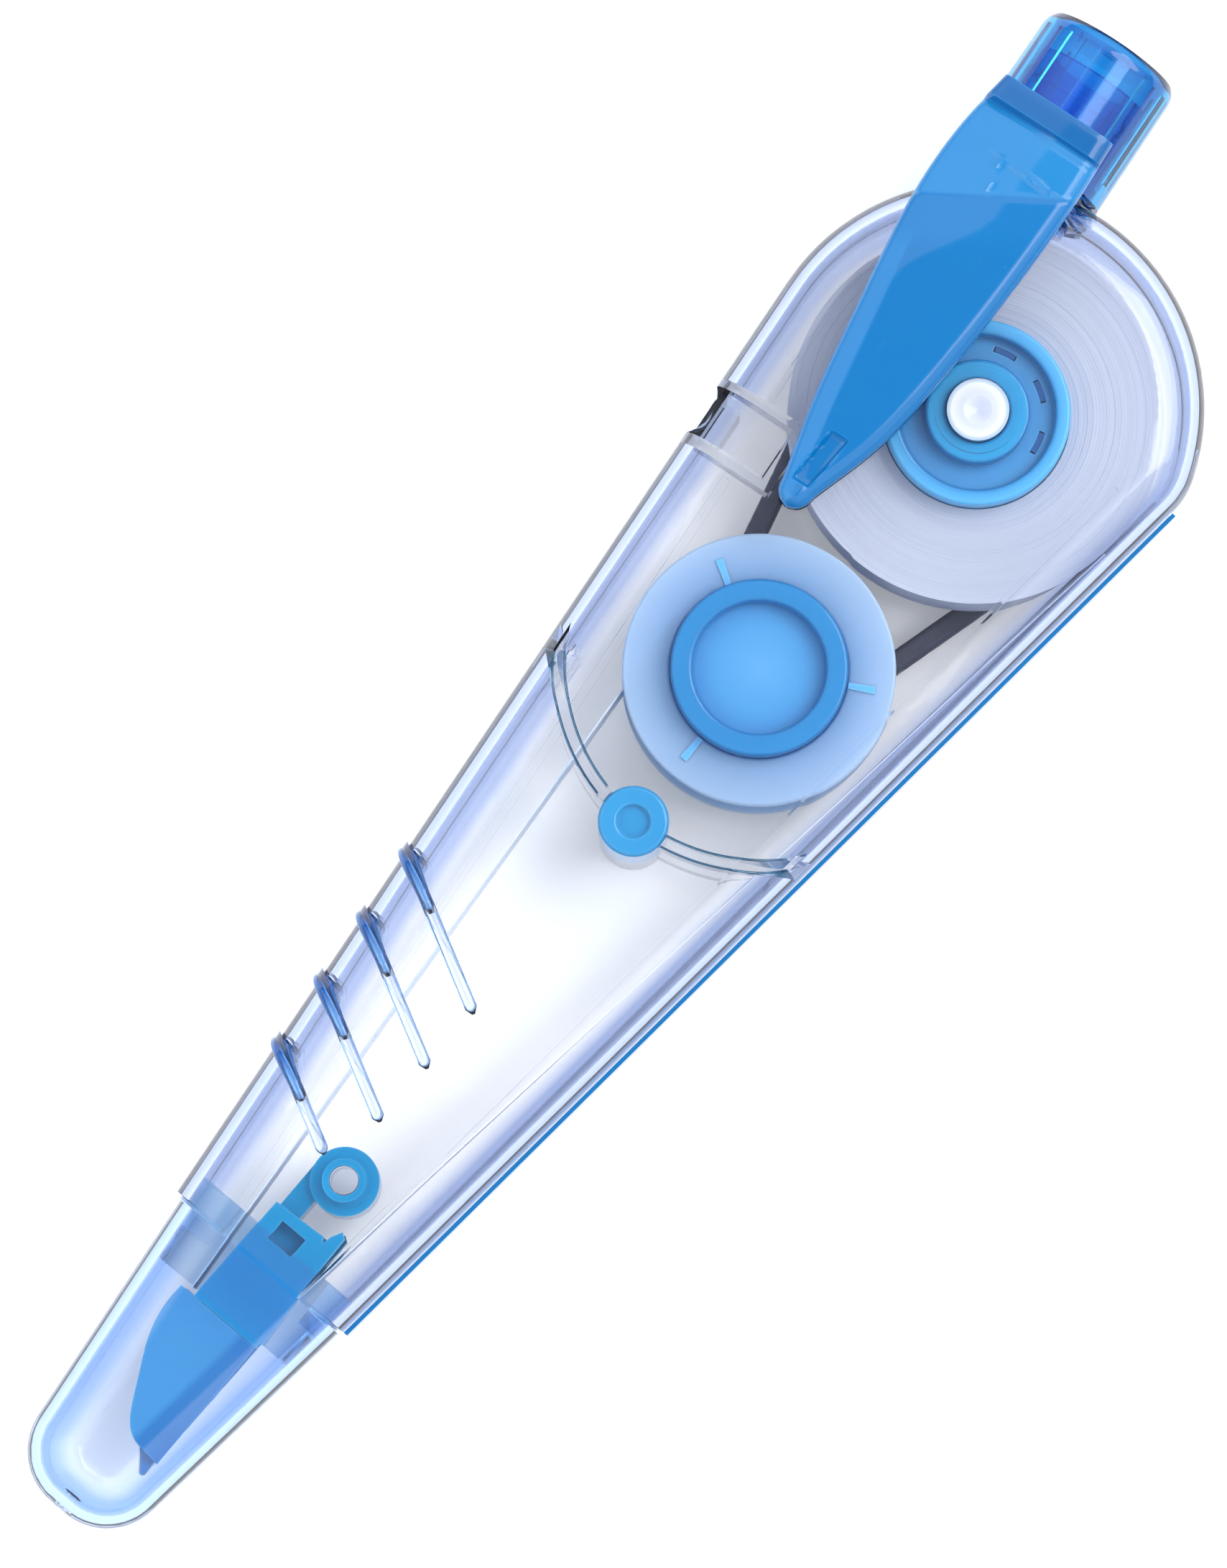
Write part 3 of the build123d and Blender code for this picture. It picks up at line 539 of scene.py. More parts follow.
@dataclass(frozen=True)
class PaintedLightZone:
    """A part of a surface on one side of a line in plan, laid in a lighter or darker colour as painted light
    and shade.
    """

    along: tuple[float, float]
    start: float
    soft: float
    colour: Colour

    def over(self, graph: Graph, under: Socket) -> Socket:
        """Lays the zone's painted colour, lighter or darker, over a colour.

        Args:
            graph: The material's graph.
            under: The colour so far.

        Returns:
            The colour with the zone laid over it.
        """
        place = graph.add("ShaderNodeVectorMath", operation="DOT_PRODUCT")
        graph.feed(graph.add("ShaderNodeTexCoord").outputs["Object"], place.inputs[0])
        place.inputs[1].default_value = (*self.along, 0.0)
        share = graph.spread(place.outputs["Value"], self.start, self.start + self.soft, 0.0, 1.0)
        return graph.blend(share, under, rgba(self.colour))


@dataclass(frozen=True)
class MouldedPlastic:
    """An opaque or half-clear coloured moulding."""

    name: str
    colour: Colour
    deep: Colour
    # painted highlight: the lighter colour laid along sharp edges
    edge: Colour
    sheen: Sheen = Sheen.GLOSS
    glow: float = 0.0
    clear: float = 0.0
    edge_highlight_amount: float = 0.5
    edge_highlight_width: float = 0.25 * MM
    grain: float = 3200.0
    mottle: float = 0.35
    scuff: float = 0.12
    relief: float = 0.000010
    painted_light_zones: tuple[PaintedLightZone, ...] = ()
    rings: tuple[tuple[float, Colour], ...] = ()
    axis_x: float = 0.0

    def build(self) -> bpy.types.Material:
        """Makes the material.

        Returns:
            The material.
        """
        material, graph, shader, _ = start_material(self.name)
        colour, deep = self.shades(graph)
        skin = EFFECTS.place(
            graph,
            EFFECTS.moulding(),
            Colour=colour,
            Deep_Colour=deep,
            Roughness=self.sheen.value,
            Flow=130.0,
            Mottle=self.mottle,
            Grain=self.grain,
            Scuff=self.scuff,
        )
        # painted highlight: sharp edges turn to the lighter edge colour
        edge = EFFECTS.place(
            graph,
            EFFECTS.edges(),
            Colour=skin.outputs["Colour"],
            Edge_Colour=rgba(self.edge),
            Amount=self.edge_highlight_amount,
            Width=self.edge_highlight_width,
        )
        dust = EFFECTS.place(graph, EFFECTS.dust(), Amount=0.25)
        rough = graph.maths("ADD", skin.outputs["Roughness"], dust.outputs["Mask"], clamp=True)
        graph.feed(edge.outputs["Colour"], shader.inputs["Base Color"])
        graph.feed(rough, shader.inputs["Roughness"])
        shader.inputs["IOR"].default_value = 1.5
        shader.inputs["Transmission Weight"].default_value = self.clear
        shader.inputs["Subsurface Weight"].default_value = self.glow
        shader.inputs["Subsurface Radius"].default_value = (0.4, 0.7, 1.0)
        shader.inputs["Subsurface Scale"].default_value = 1.2 * MM
        bump(graph, shader, skin.outputs["Height"], self.relief, 0.7)
        return material

    def shades(self, graph: Graph) -> tuple[object, object]:
        """Works out the colour and the deeper colour, with any rings and any patches of painted light and
        shade laid in.

        Args:
            graph: The material's graph.

        Returns:
            The two colours, as sockets or four numbers.
        """
        colour: object = rgba(self.colour)
        if self.rings:
            reach = EFFECTS.place(graph, EFFECTS.reach(), Axis_X=self.axis_x)
            ramp = graph.add("ShaderNodeValToRGB")
            graph.feed(graph.maths("MULTIPLY", reach.outputs[0], 0.1 / MM), ramp.inputs[0])
            stops = ramp.color_ramp.elements
            stops[0].position, stops[0].color = self.rings[0][0] / 10, rgba(self.rings[0][1])
            stops[1].position, stops[1].color = self.rings[-1][0] / 10, rgba(self.rings[-1][1])
            for radius, shade in self.rings[1:-1]:
                stops.new(radius / 10).color = rgba(shade)
            colour = ramp.outputs[0]
        for zone in self.painted_light_zones:
            colour = zone.over(graph, colour)
        if not (self.rings or self.painted_light_zones):
            return colour, rgba(self.deep)
        return colour, graph.blend(0.5, colour, rgba(self.deep))


@dataclass(frozen=True)
class WoundTape:
    """Paper tape seen from its wound edges."""

    name: str
    colour: Colour
    shade: Colour
    axis_x: float
    axis_y: float
    pitch: float

    def build(self) -> bpy.types.Material:
        """Makes the material.

        Returns:
            The material.
        """
        material, graph, shader, _ = start_material(self.name)
        rings = EFFECTS.place(
            graph,
            EFFECTS.winding(),
            Axis_X=self.axis_x,
            Axis_Y=self.axis_y,
            Pitch=self.pitch,
            Waver=0.12,
        )
        where = graph.add("ShaderNodeTexCoord").outputs["Object"]
        fibre = graph.noise(where, 2600.0, 4.0, 0.7)
        bands = graph.spread(rings.outputs["Bands"], 0.3, 0.75, 0.0, 0.55)
        share = graph.maths("MULTIPLY_ADD", rings.outputs["Layers"], 0.10, bands)
        colour = graph.blend(share, rgba(self.colour), rgba(self.shade))
        colour = graph.blend(graph.spread(fibre, 0.5, 0.8, 0.0, 0.12), colour, rgba(self.shade))
        graph.feed(colour, shader.inputs["Base Color"])
        graph.feed(graph.spread(fibre, 0.3, 0.7, 0.42, 0.58), shader.inputs["Roughness"])
        height = graph.maths("MULTIPLY_ADD", fibre, 0.4, rings.outputs["Height"])
        bump(graph, shader, height, 0.00004, 0.5)
        return material


@dataclass(frozen=True)
class SoftSheet:
    """A thin strip or pad with fibres: tape, liner or felt."""

    name: str
    colour: Colour
    shade: Colour
    roughness: float
    fibre_scale: float
    relief: float

    def build(self) -> bpy.types.Material:
        """Makes the material.

        Returns:
            The material.
        """
        material, graph, shader, _ = start_material(self.name)
        where = graph.add("ShaderNodeTexCoord").outputs["Object"]
        fibre = graph.noise(where, self.fibre_scale, 5.0, 0.7)
        cloud = graph.noise(where, self.fibre_scale * 0.08, 2.0)
        colour = graph.blend(graph.spread(cloud, 0.35, 0.7, 0.0, 0.6), rgba(self.colour), rgba(self.shade))
        colour = graph.blend(graph.spread(fibre, 0.5, 0.8, 0.0, 0.3), colour, rgba(self.shade))
        graph.feed(colour, shader.inputs["Base Color"])
        rough = graph.spread(fibre, 0.3, 0.7, self.roughness - 0.08, self.roughness + 0.08)
        graph.feed(rough, shader.inputs["Roughness"])
        bump(graph, shader, fibre, self.relief, 0.6)
        return material


@dataclass(frozen=True)
class BeltRubber:
    """Dark moulded rubber with a bloom of fine dust."""

    name: str
    colour: Colour
    bloom: Colour

    def build(self) -> bpy.types.Material:
        """Makes the material.

        Returns:
            The material.
        """
        material, graph, shader, _ = start_material(self.name)
        where = graph.add("ShaderNodeTexCoord").outputs["Object"]
        cloud = graph.noise(where, 700.0, 4.0, 0.65)
        grain = graph.noise(where, 5200.0, 3.0, 0.7)
        dust = EFFECTS.place(graph, EFFECTS.dust(), Amount=0.7)
        base = graph.blend(graph.spread(cloud, 0.4, 0.75, 0.0, 0.7), rgba(self.colour), rgba(self.bloom))
        colour = graph.blend(dust.outputs["Mask"], base, (0.35, 0.36, 0.40, 1.0))
        graph.feed(colour, shader.inputs["Base Color"])
        graph.feed(graph.spread(cloud, 0.3, 0.7, 0.55, 0.75), shader.inputs["Roughness"])
        bump(graph, shader, grain, 0.00003, 0.7)
        return material


KNOB = Vector((-16.4, -8.3)) * MM
KNOB_TILT = math.radians(6.5)
OUT = Vector((-math.cos(KNOB_TILT), -math.sin(KNOB_TILT)))
SIDE = Vector((math.sin(KNOB_TILT), -math.cos(KNOB_TILT)))
CLIP_SIDE = 0.5


def clip_painted_light_zone(out_share: float, side_share: float, start: float, soft: float, colour: Colour) -> PaintedLightZone:
    """A patch of painted light and shade on the clip, given in the clip's own directions and millimetres.

    Args:
        out_share: How the line's measure grows towards the end cap.
        side_share: How it grows towards the spine.
        start: The measure where the zone starts.
        soft: The width of its soft edge.
        colour: Its painted colour, lighter or darker than the clip's own.

    Returns:
        The zone.
    """
    along = OUT * out_share + SIDE * side_share
    offset = along.dot(KNOB) + side_share * CLIP_SIDE * MM
    return PaintedLightZone((along.x, along.y), offset + start * MM, soft * MM, colour)


# Hub colours by radius in millimetres; the dark thin stops at 3.65 and 5.55 are painted shade at the walls of
# the lower groove.
HUB_RINGS = (
    (2.2, (0.010, 0.22, 0.52)),
    (2.5, (0.002, 0.25, 0.52)),
    (3.4, (0.003, 0.27, 0.56)),
    (3.65, (0.002, 0.13, 0.36)),
    (3.9, (0.035, 0.26, 0.58)),
    (5.2, (0.040, 0.29, 0.62)),
    (5.55, (0.006, 0.16, 0.42)),
    (5.9, (0.040, 0.31, 0.63)),
    (6.5, (0.075, 0.38, 0.70)),
)
# Take-up core colours by radius; the dark thin stops at 4.72 and 6.3 are painted shade at the steps, and the
# pale stop at 6.5 is a painted highlight on the rim.
WHEEL_RINGS = (
    (0.0, (0.085, 0.33, 0.66)),
    (3.2, (0.050, 0.29, 0.62)),
    (4.5, (0.035, 0.25, 0.58)),
    (4.72, (0.001, 0.13, 0.38)),
    (5.0, (0.001, 0.185, 0.46)),
    (6.0, (0.001, 0.195, 0.48)),
    (6.3, (0.001, 0.12, 0.36)),
    (6.5, (0.30, 0.55, 0.85)),
)
MILK_RINGS = (
    (6.2, (0.08, 0.30, 0.66)),
    (6.6, (0.23, 0.45, 0.76)),
    (8.2, (0.33, 0.53, 0.80)),
    (9.4, (0.40, 0.59, 0.84)),
    (9.65, (0.55, 0.71, 0.90)),
)
# Painted shading of the white pin's end: grey towards the centre for its hollow cone, dark at the rim.
AXLE_PAINTED_SHADING = (
    (0.0, (0.50, 0.55, 0.68)),
    (1.3, (0.58, 0.62, 0.73)),
    (1.85, (0.72, 0.75, 0.82)),
    (2.2, (0.22, 0.40, 0.58)),
)


@dataclass(frozen=True)
class Finishes:
    """Every finish on the object."""

    # the second colour of each clear finish is its painted shade on walls that stand on edge
    case: ClearPlastic = ClearPlastic(
        "clear_case", (0.994, 0.996, 1.0), (0.44, 0.52, 0.72), (0.58, 0.68, 0.90), 30.0, (1.0, 1.0, 1.0)
    )
    cap: ClearPlastic = ClearPlastic(
        "clear_cap", (0.95, 0.968, 1.0), (0.47, 0.62, 0.86), (0.48, 0.66, 0.93), 60.0, (0.94, 0.965, 1.0)
    )
    ice: ClearPlastic = ClearPlastic(
        "ice_blue", (0.86, 0.94, 1.0), (0.45, 0.72, 0.93), (0.40, 0.72, 0.96), 90.0, (0.86, 0.94, 1.0), 0.08
    )
    smoke: ClearPlastic = ClearPlastic(
        "smoke_blue",
        (0.40, 0.70, 0.94),
        (0.22, 0.54, 0.86),
        (0.18, 0.55, 0.90),
        150.0,
        (0.55, 0.80, 0.98),
        0.10,
    )
    end: ClearPlastic = ClearPlastic(
        "cap_blue",
        (0.06, 0.52, 0.80),
        (0.015, 0.35, 0.64),
        (0.05, 0.58, 0.84),
        120.0,
        (0.35, 0.72, 0.95),
        0.06,
    )
    ridge: ClearPlastic = ClearPlastic(
        "ridge_blue",
        (0.78, 0.86, 0.96),
        (0.46, 0.64, 0.86),
        (0.40, 0.64, 0.90),
        80.0,
        (0.90, 0.95, 1.0),
        0.06,
    )
    spot: ClearPlastic = ClearPlastic(
        "spot_blue",
        (0.30, 0.62, 0.92),
        (0.14, 0.52, 0.86),
        (0.12, 0.56, 0.90),
        120.0,
        (0.55, 0.80, 1.0),
        0.06,
    )
    rib: ClearPlastic = ClearPlastic(
        "rib_teal",
        (0.30, 0.62, 0.78),
        (0.16, 0.48, 0.66),
        (0.20, 0.55, 0.75),
        200.0,
        (0.75, 0.90, 0.98),
        0.06,
    )
    # painted shade: dark bars that fill the hub's slots
    slot_shade: MouldedPlastic = MouldedPlastic(
        "slot_shade_blue", (0.004, 0.10, 0.34), (0.003, 0.08, 0.30), (0.01, 0.15, 0.42), Sheen.SATIN
    )
    dash: MouldedPlastic = MouldedPlastic(
        "dash_blue", (0.10, 0.42, 0.80), (0.08, 0.38, 0.76), (0.30, 0.60, 0.90), Sheen.SATIN
    )
    rail: MouldedPlastic = MouldedPlastic(
        "blue_rail", (0.006, 0.165, 0.42), (0.005, 0.14, 0.38), (0.03, 0.26, 0.54), edge_highlight_width=0.15 * MM
    )
    pin: MouldedPlastic = MouldedPlastic(
        "blue_pin", (0.03, 0.36, 0.72), (0.02, 0.28, 0.64), (0.22, 0.58, 0.86), clear=0.35
    )
    axle: MouldedPlastic = MouldedPlastic(
        "white_pin", (0.86, 0.88, 0.93), (0.78, 0.81, 0.90), (0.95, 0.96, 0.98), glow=0.15, rings=AXLE_PAINTED_SHADING
    )
    hub: MouldedPlastic = MouldedPlastic(
        "hub_blue",
        (0.05, 0.34, 0.72),
        (0.03, 0.28, 0.66),
        (0.16, 0.50, 0.84),
        Sheen.SATIN,
        glow=0.1,
        rings=HUB_RINGS,
    )
    reel: MouldedPlastic = MouldedPlastic(
        "reel_blue",
        (0.002, 0.22, 0.60),
        (0.002, 0.20, 0.56),
        (0.06, 0.38, 0.76),
        Sheen.SATIN,
        rings=WHEEL_RINGS,
        axis_x=TAKEUP_X * MM,
    )
    wheel: MouldedPlastic = MouldedPlastic(
        "reel_white", (0.74, 0.78, 0.86), (0.68, 0.72, 0.82), (0.84, 0.87, 0.93), Sheen.MATT
    )
    milky: MouldedPlastic = MouldedPlastic(
        "milky_disc",
        (0.42, 0.60, 0.86),
        (0.36, 0.54, 0.82),
        (0.66, 0.80, 0.95),
        Sheen.SATIN,
        glow=0.2,
        clear=0.5,
        rings=MILK_RINGS,
        axis_x=TAKEUP_X * MM,
    )
    head: MouldedPlastic = MouldedPlastic(
        "head_blue", (0.004, 0.31, 0.62), (0.002, 0.24, 0.54), (0.12, 0.52, 0.80), clear=0.3
    )
    blade: MouldedPlastic = MouldedPlastic(
        "blade_blue",
        (0.030, 0.235, 0.50),
        (0.022, 0.205, 0.46),
        (0.08, 0.34, 0.60),
        Sheen.SATIN,
        glow=0.1,
        # painted shade: the ramp side of the blade laid in darker
        painted_light_zones=(PaintedLightZone((0.10, 0.995), 10.6 * MM, 0.5 * MM, (0.004, 0.145, 0.40)),),
    )
    clip: MouldedPlastic = MouldedPlastic(
        "clip_blue",
        (0.002, 0.165, 0.45),
        (0.002, 0.145, 0.42),
        (0.015, 0.23, 0.55),
        edge_highlight_width=0.3 * MM,
        edge_highlight_amount=0.8,
        glow=0.1,
        clear=0.12,
        # painted light and shade: facets and the window laid in lighter, the root end darker
        painted_light_zones=(
            clip_painted_light_zone(-0.154, 1.0, 5.0, 0.25, (0.009, 0.205, 0.52)),
            clip_painted_light_zone(1.0, 0.58, -9.4, 2.2, (0.003, 0.180, 0.48)),
            clip_painted_light_zone(1.0, 0.58, -4.4, 0.3, (0.014, 0.235, 0.56)),
            clip_painted_light_zone(1.0, 0.0, 1.1, 0.15, (0.003, 0.120, 0.37)),
        ),
    )
    belt: BeltRubber = BeltRubber("belt_rubber", (0.040, 0.042, 0.070), (0.075, 0.078, 0.115))
    roll: WoundTape = WoundTape("wound_tape", (0.42, 0.46, 0.57), (0.35, 0.39, 0.51), 0.0, 0.0, 0.22 * MM)
    liner_roll: WoundTape = WoundTape(
        "wound_liner", (0.52, 0.62, 0.80), (0.40, 0.52, 0.74), TAKEUP_X * MM, 0.0, 0.18 * MM
    )
    tape: SoftSheet = SoftSheet("tape", (0.80, 0.83, 0.91), (0.70, 0.74, 0.85), 0.5, 2400.0, 0.000012)
    liner: SoftSheet = SoftSheet("liner", (0.66, 0.73, 0.86), (0.56, 0.64, 0.80), 0.32, 1800.0, 0.000008)
    felt: SoftSheet = SoftSheet("felt", (0.58, 0.60, 0.64), (0.46, 0.48, 0.52), 0.9, 3800.0, 0.00008)


FINISHES = Finishes()
MATERIALS: dict[str, bpy.types.Material] = {}


def dress(obj: bpy.types.Object, finish: object) -> None:
    """Puts a finish on an object, building its material the first time."""
    if finish.name not in MATERIALS:
        MATERIALS[finish.name] = finish.build()
    obj.data.materials.clear()
    obj.data.materials.append(MATERIALS[finish.name])


def dress_nodes(finishes: dict[str, object]) -> None:
    """Dresses CAD nodes by name and reports each."""
    for node, finish in finishes.items():
        dress(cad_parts[node], finish)
        log.info("node %s wears %s", node, finish.name)


# ---------------------------------------------------------------- mesh helpers


def object_from(name: str, bm: bmesh.types.BMesh, smooth: bool = True) -> bpy.types.Object:
    """Turns a bmesh into an object in the scene.

    Args:
        name: The object's name.
        bm: The bmesh, which is freed.
        smooth: Whether its faces are shaded smooth.

    Returns:
        The object.
    """
    bmesh.ops.recalc_face_normals(bm, faces=bm.faces)
    mesh = bpy.data.meshes.new(name)
    bm.to_mesh(mesh)
    bm.free()
    for face in mesh.polygons:
        face.use_smooth = smooth
    obj = bpy.data.objects.new(name, mesh)
    bpy.context.scene.collection.objects.link(obj)
    return obj


def loft(bm: bmesh.types.BMesh, sections: Sequence[Sequence[Vector]], capped: bool = True) -> None:
    """Skins closed sections that have the same number of points.

    Args:
        bm: The bmesh that takes the faces.
        sections: The sections in order, each a closed ring of points.
        capped: Whether the first and last ring are filled.
    """
    rings = [[bm.verts.new(p) for p in section] for section in sections]
    for first, second in zip(rings, rings[1:]):
        count = len(first)
        for i in range(count):
            j = (i + 1) % count
            bm.faces.new((first[i], first[j], second[j], second[i]))
    if capped:
        bm.faces.new(list(reversed(rings[0])))
        bm.faces.new(rings[-1])


def lathe(bm: bmesh.types.BMesh, profile: Sequence[tuple[float, float]], centre: Vector, steps: int,
          grow: Callable[[int, float], float]) -> None:
    """Turns a closed profile of (radius, height) about an axis along Z.

    Args:
        bm: The bmesh that takes the faces.
        profile: The closed profile.
        centre: A point on the axis.
        steps: How many steps make the turn.
        grow: Gives the radius to use, from a profile point's index and the angle.
    """
    rings = []
    for step in range(steps):
        angle = 2 * math.pi * step / steps
        ring = []
        for index, (radius, height) in enumerate(profile):
            reach = radius + grow(index, angle)
            place = centre + Vector((reach * math.cos(angle), reach * math.sin(angle), height))
            ring.append(bm.verts.new(place))
        rings.append(ring)
    count = len(profile)
    for step in range(steps):
        first, second = rings[step], rings[(step + 1) % steps]
        for i in range(count):
            j = (i + 1) % count
            bm.faces.new((first[i], second[i], second[j], first[j]))


def smooth_step(low: float, high: float, value: float) -> float:
    """A smooth rise from 0 to 1 between two values."""
    share = min(max((value - low) / (high - low), 0.0), 1.0)
    return share * share * (3 - 2 * share)


def through(table: Sequence[tuple[float, float]], place: float) -> float:
    """A smooth curve through points given in falling order.

    Args:
        table: The points, as (place, value).
        place: Where the curve is read.

    Returns:
        The value there.
    """
    points = sorted(table)
    place = min(max(place, points[0][0]), points[-1][0])
    index = next(i for i in range(len(points) - 1) if place <= points[i + 1][0])
    slopes = []
    for i in (index, index + 1):
        before, after = points[max(i - 1, 0)], points[min(i + 1, len(points) - 1)]
        slopes.append((after[1] - before[1]) / (after[0] - before[0]))
    (x0, y0), (x1, y1) = points[index], points[index + 1]
    span = x1 - x0
    u = (place - x0) / span
    return (
        y0 * (1 + 2 * u) * (1 - u) ** 2
        + slopes[0] * span * u * (1 - u) ** 2
        + y1 * u * u * (3 - 2 * u)
        - slopes[1] * span * u * u * (1 - u)
    )


# ---------------------------------------------------------------- sub-assemblies


@dataclass
class CurvedBars:
    """Thin bars along arcs about an axis along Z, in millimetres and degrees."""

    name: str
    centre_x: float
    spans: tuple[tuple[float, float], ...]
    inner: float
    outer: float
    low: float
    high: float
    finish: object
    body: Body
    slot: str

    def build(self) -> bpy.types.Object:
        """Builds every bar in one piece.

        Returns:
            The piece.
        """
        bm = bmesh.new()
        edge = 0.2 * min(self.outer - self.inner, self.high - self.low)
        profile = [
            (self.inner + edge, self.low),
            (self.outer - edge, self.low),
            (self.outer, self.low + edge),
            (self.outer, self.high - edge),
            (self.outer - edge, self.high),
            (self.inner + edge, self.high),
            (self.inner, self.high - edge),
            (self.inner, self.low + edge),
        ]
        for start, end in self.spans:
            steps = max(4, round(abs(end - start) / 3.0))
            sections = []
            for step in range(steps + 1):
                turn = math.radians(start + (end - start) * step / steps)
                ring = [
                    Vector((self.centre_x + r * math.cos(turn), r * math.sin(turn), z)) * MM
                    for r, z in profile
                ]
                sections.append(ring)
            loft(bm, sections)
        bars = object_from(self.name, bm)
        split = bars.modifiers.new("Edges", "EDGE_SPLIT")
        split.split_angle = math.radians(35)
        dress(bars, self.finish)
        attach(bars, self.body.value)
        log.info("piece %s on %s", bars.name, self.body.value)
        return bars


@dataclass
class GripRidge:
    """One slanted ridge that runs over the front face and round the spine edge."""

    index: int
    start_x: float
    end_y: float
    angle: float = GRIP_ANGLE
    spine_angle: float = SPINE_ANGLE
    rounding: float = CASE_ROUNDING
    thickness: float = CASE_THICKNESS
    side_run: float = 5.6
    half_width: float = 0.46
    rise: float = 0.42
    sunk: float = 0.10

    def spine_y(self) -> float:
        """Y of the case's spine wall where the ridge starts."""
        centre_x, centre_y = CASE_CENTRE
        reach = CASE_END_RADIUS - (self.start_x - centre_x) * math.sin(self.spine_angle)
        return centre_y - reach / math.cos(self.spine_angle)

    def path(self) -> list[tuple[Vector, Vector, float]]:
        """The ridge's run from its inner end to the side wall.

        Returns:
            Points on the case's skin, the skin's normal there, and how full the ridge is.
        """
        along = Vector((math.sin(self.angle), math.cos(self.angle), 0))
        wall = Vector((math.sin(self.spine_angle), -math.cos(self.spine_angle), 0))
        slope = -along.dot(wall)
        foot = Vector((self.start_x, self.spine_y(), 0))
        length = (self.end_y - foot.y) / along.y
        bend = self.rounding / slope
        points = []
        for step in range(17):
            q = length + (bend - length) * step / 16
            full = min(1.0, 0.25 + 2.2 * (length - q) / 1.2)
            points.append((foot + along * q + Vector((0, 0, self.thickness)), Vector((0, 0, 1)), full))
        for step in range(1, 13):
            turn = math.pi / 2 * step / 12
            inset = self.rounding * (1 - math.sin(turn))
            height = self.thickness - self.rounding + self.rounding * math.cos(turn)
            normal = wall * math.sin(turn) + Vector((0, 0, math.cos(turn)))
            points.append((foot + along * (inset / slope) + Vector((0, 0, height)), normal, 1.0))
        for step in range(1, 7):
            height = self.thickness - self.rounding - self.side_run * step / 6
            full = 1.0 - 0.6 * smooth_step(4, 6, step)
            points.append((foot + Vector((0, 0, height)), wall, full))
        return points

    def build(self) -> bpy.types.Object:
        """Builds the ridge.

        Returns:
            The ridge.
        """
        return self.bar(f"grip_ridge_{self.index}", self.path(), 1.0, FINISHES.ridge)

    def build_spot(self) -> bpy.types.Object:
        """Builds the deeper swell where the ridge turns over the spine edge.

        Returns:
            The swell.
        """
        run = self.path()[15:30]
        swell = [
            (point, normal, max(math.sin(math.pi * (step + 0.4) / len(run)), 0.1) ** 0.6)
            for step, (point, normal, _) in enumerate(run)
        ]
        return self.bar(f"grip_spot_{self.index}", swell, 1.3, FINISHES.spot)

    def bar(
        self, name: str, run: Sequence[tuple[Vector, Vector, float]], size: float, finish: object
    ) -> bpy.types.Object:
        """Lofts a low rounded bar along a run.

        Args:
            name: The piece's name.
            run: Points on the skin, with the skin's normal and how full the bar is there.
            size: How large its section is.
            finish: Its finish.

        Returns:
            The piece.
        """
        lateral = Vector((math.cos(self.angle), -math.sin(self.angle), 0))
        sections = []
        for point, normal, full in run:
            ring = []
            for k in range(14):
                turn = 2 * math.pi * k / 14
                out = self.rise * math.sin(turn) if math.sin(turn) > 0 else self.sunk * math.sin(turn)
                across = self.half_width * math.cos(turn)
                ring.append((point + (lateral * across + normal * out) * full * size) * MM)
            sections.append(ring)
        bm = bmesh.new()
        loft(bm, sections)
        piece = object_from(name, bm)
        dress(piece, finish)
        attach(piece, Body.ROOT.value)
        log.info("piece %s on %s", piece.name, Body.ROOT.value)
        return piece


@dataclass
class NeckRing:
    """The faceted ring between the case's end and the end cap."""

    sides: int = 14
    inner: float = 5.12
    outer: float = 5.5
    start: float = -2.0
    end: float = -0.25
    middle: float = CASE_MIDDLE

    def build(self) -> bpy.types.Object:
        """Builds the ring round the end cap's axis.

        Returns:
            The ring.
        """
        profile = [
            (self.start, self.inner),
            (self.start + 0.3, self.outer),
            (self.end - 0.5, self.outer),
            (self.end, self.outer - 0.3),
            (self.end, self.inner),
        ]
        bm = bmesh.new()
        rings = []
        for k in range(self.sides):
            turn = 2 * math.pi * (k + 0.5) / self.sides
            ring = []
            for out, radius in profile:
                flat = KNOB + (OUT * out + SIDE * radius * math.cos(turn)) * MM
                ring.append(bm.verts.new((flat.x, flat.y, (self.middle + radius * math.sin(turn)) * MM)))
            rings.append(ring)
        for k in range(self.sides):
            first, second = rings[k], rings[(k + 1) % self.sides]
            for i in range(len(profile)):
                j = (i + 1) % len(profile)
                bm.faces.new((first[i], second[i], second[j], first[j]))
        ring = object_from("neck_ring", bm, smooth=False)
        dress(ring, FINISHES.smoke)
        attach(ring, Body.ROOT.value)
        log.info("piece %s on %s", ring.name, Body.ROOT.value)
        return ring


@dataclass
class Case:
    """The clear case with its grip ridges, rail, pin, neck and collar."""

    ridges: tuple[tuple[float, float], ...] = ((49.6, 0.6), (54.9, 0.6), (60.2, 0.5), (65.5, -1.0))

    def build(self) -> None:
        """Builds the grip ridges, the bay rib's faces and the neck ring."""
        for index, (start_x, end_y) in enumerate(self.ridges, 1):
            ridge = GripRidge(index, start_x, end_y)
            ridge.build()
            ridge.build_spot()
        spans = ((-54.0, -11.5), (11.5, 48.0))
        for name, inner in (("bay_rib_face", 13.52), ("bay_rib_back", 14.38)):
            CurvedBars(
                name, TAKEUP_X, spans, inner, inner + 0.17, 10.4, 13.05, FINISHES.rib, Body.ROOT, "ice_blue"
            ).build()
        NeckRing().build()

    def dress(self) -> None:
        """Dresses the case's nodes."""
        dress_nodes(
            {
                "front_shell": FINISHES.case,
                "back_shell": FINISHES.case,
                "belly_strip": FINISHES.rail,
                "case_pin": FINISHES.pin,
                "neck_sleeve": FINISHES.smoke,
                "nose_collar": FINISHES.ice,
            }
        )


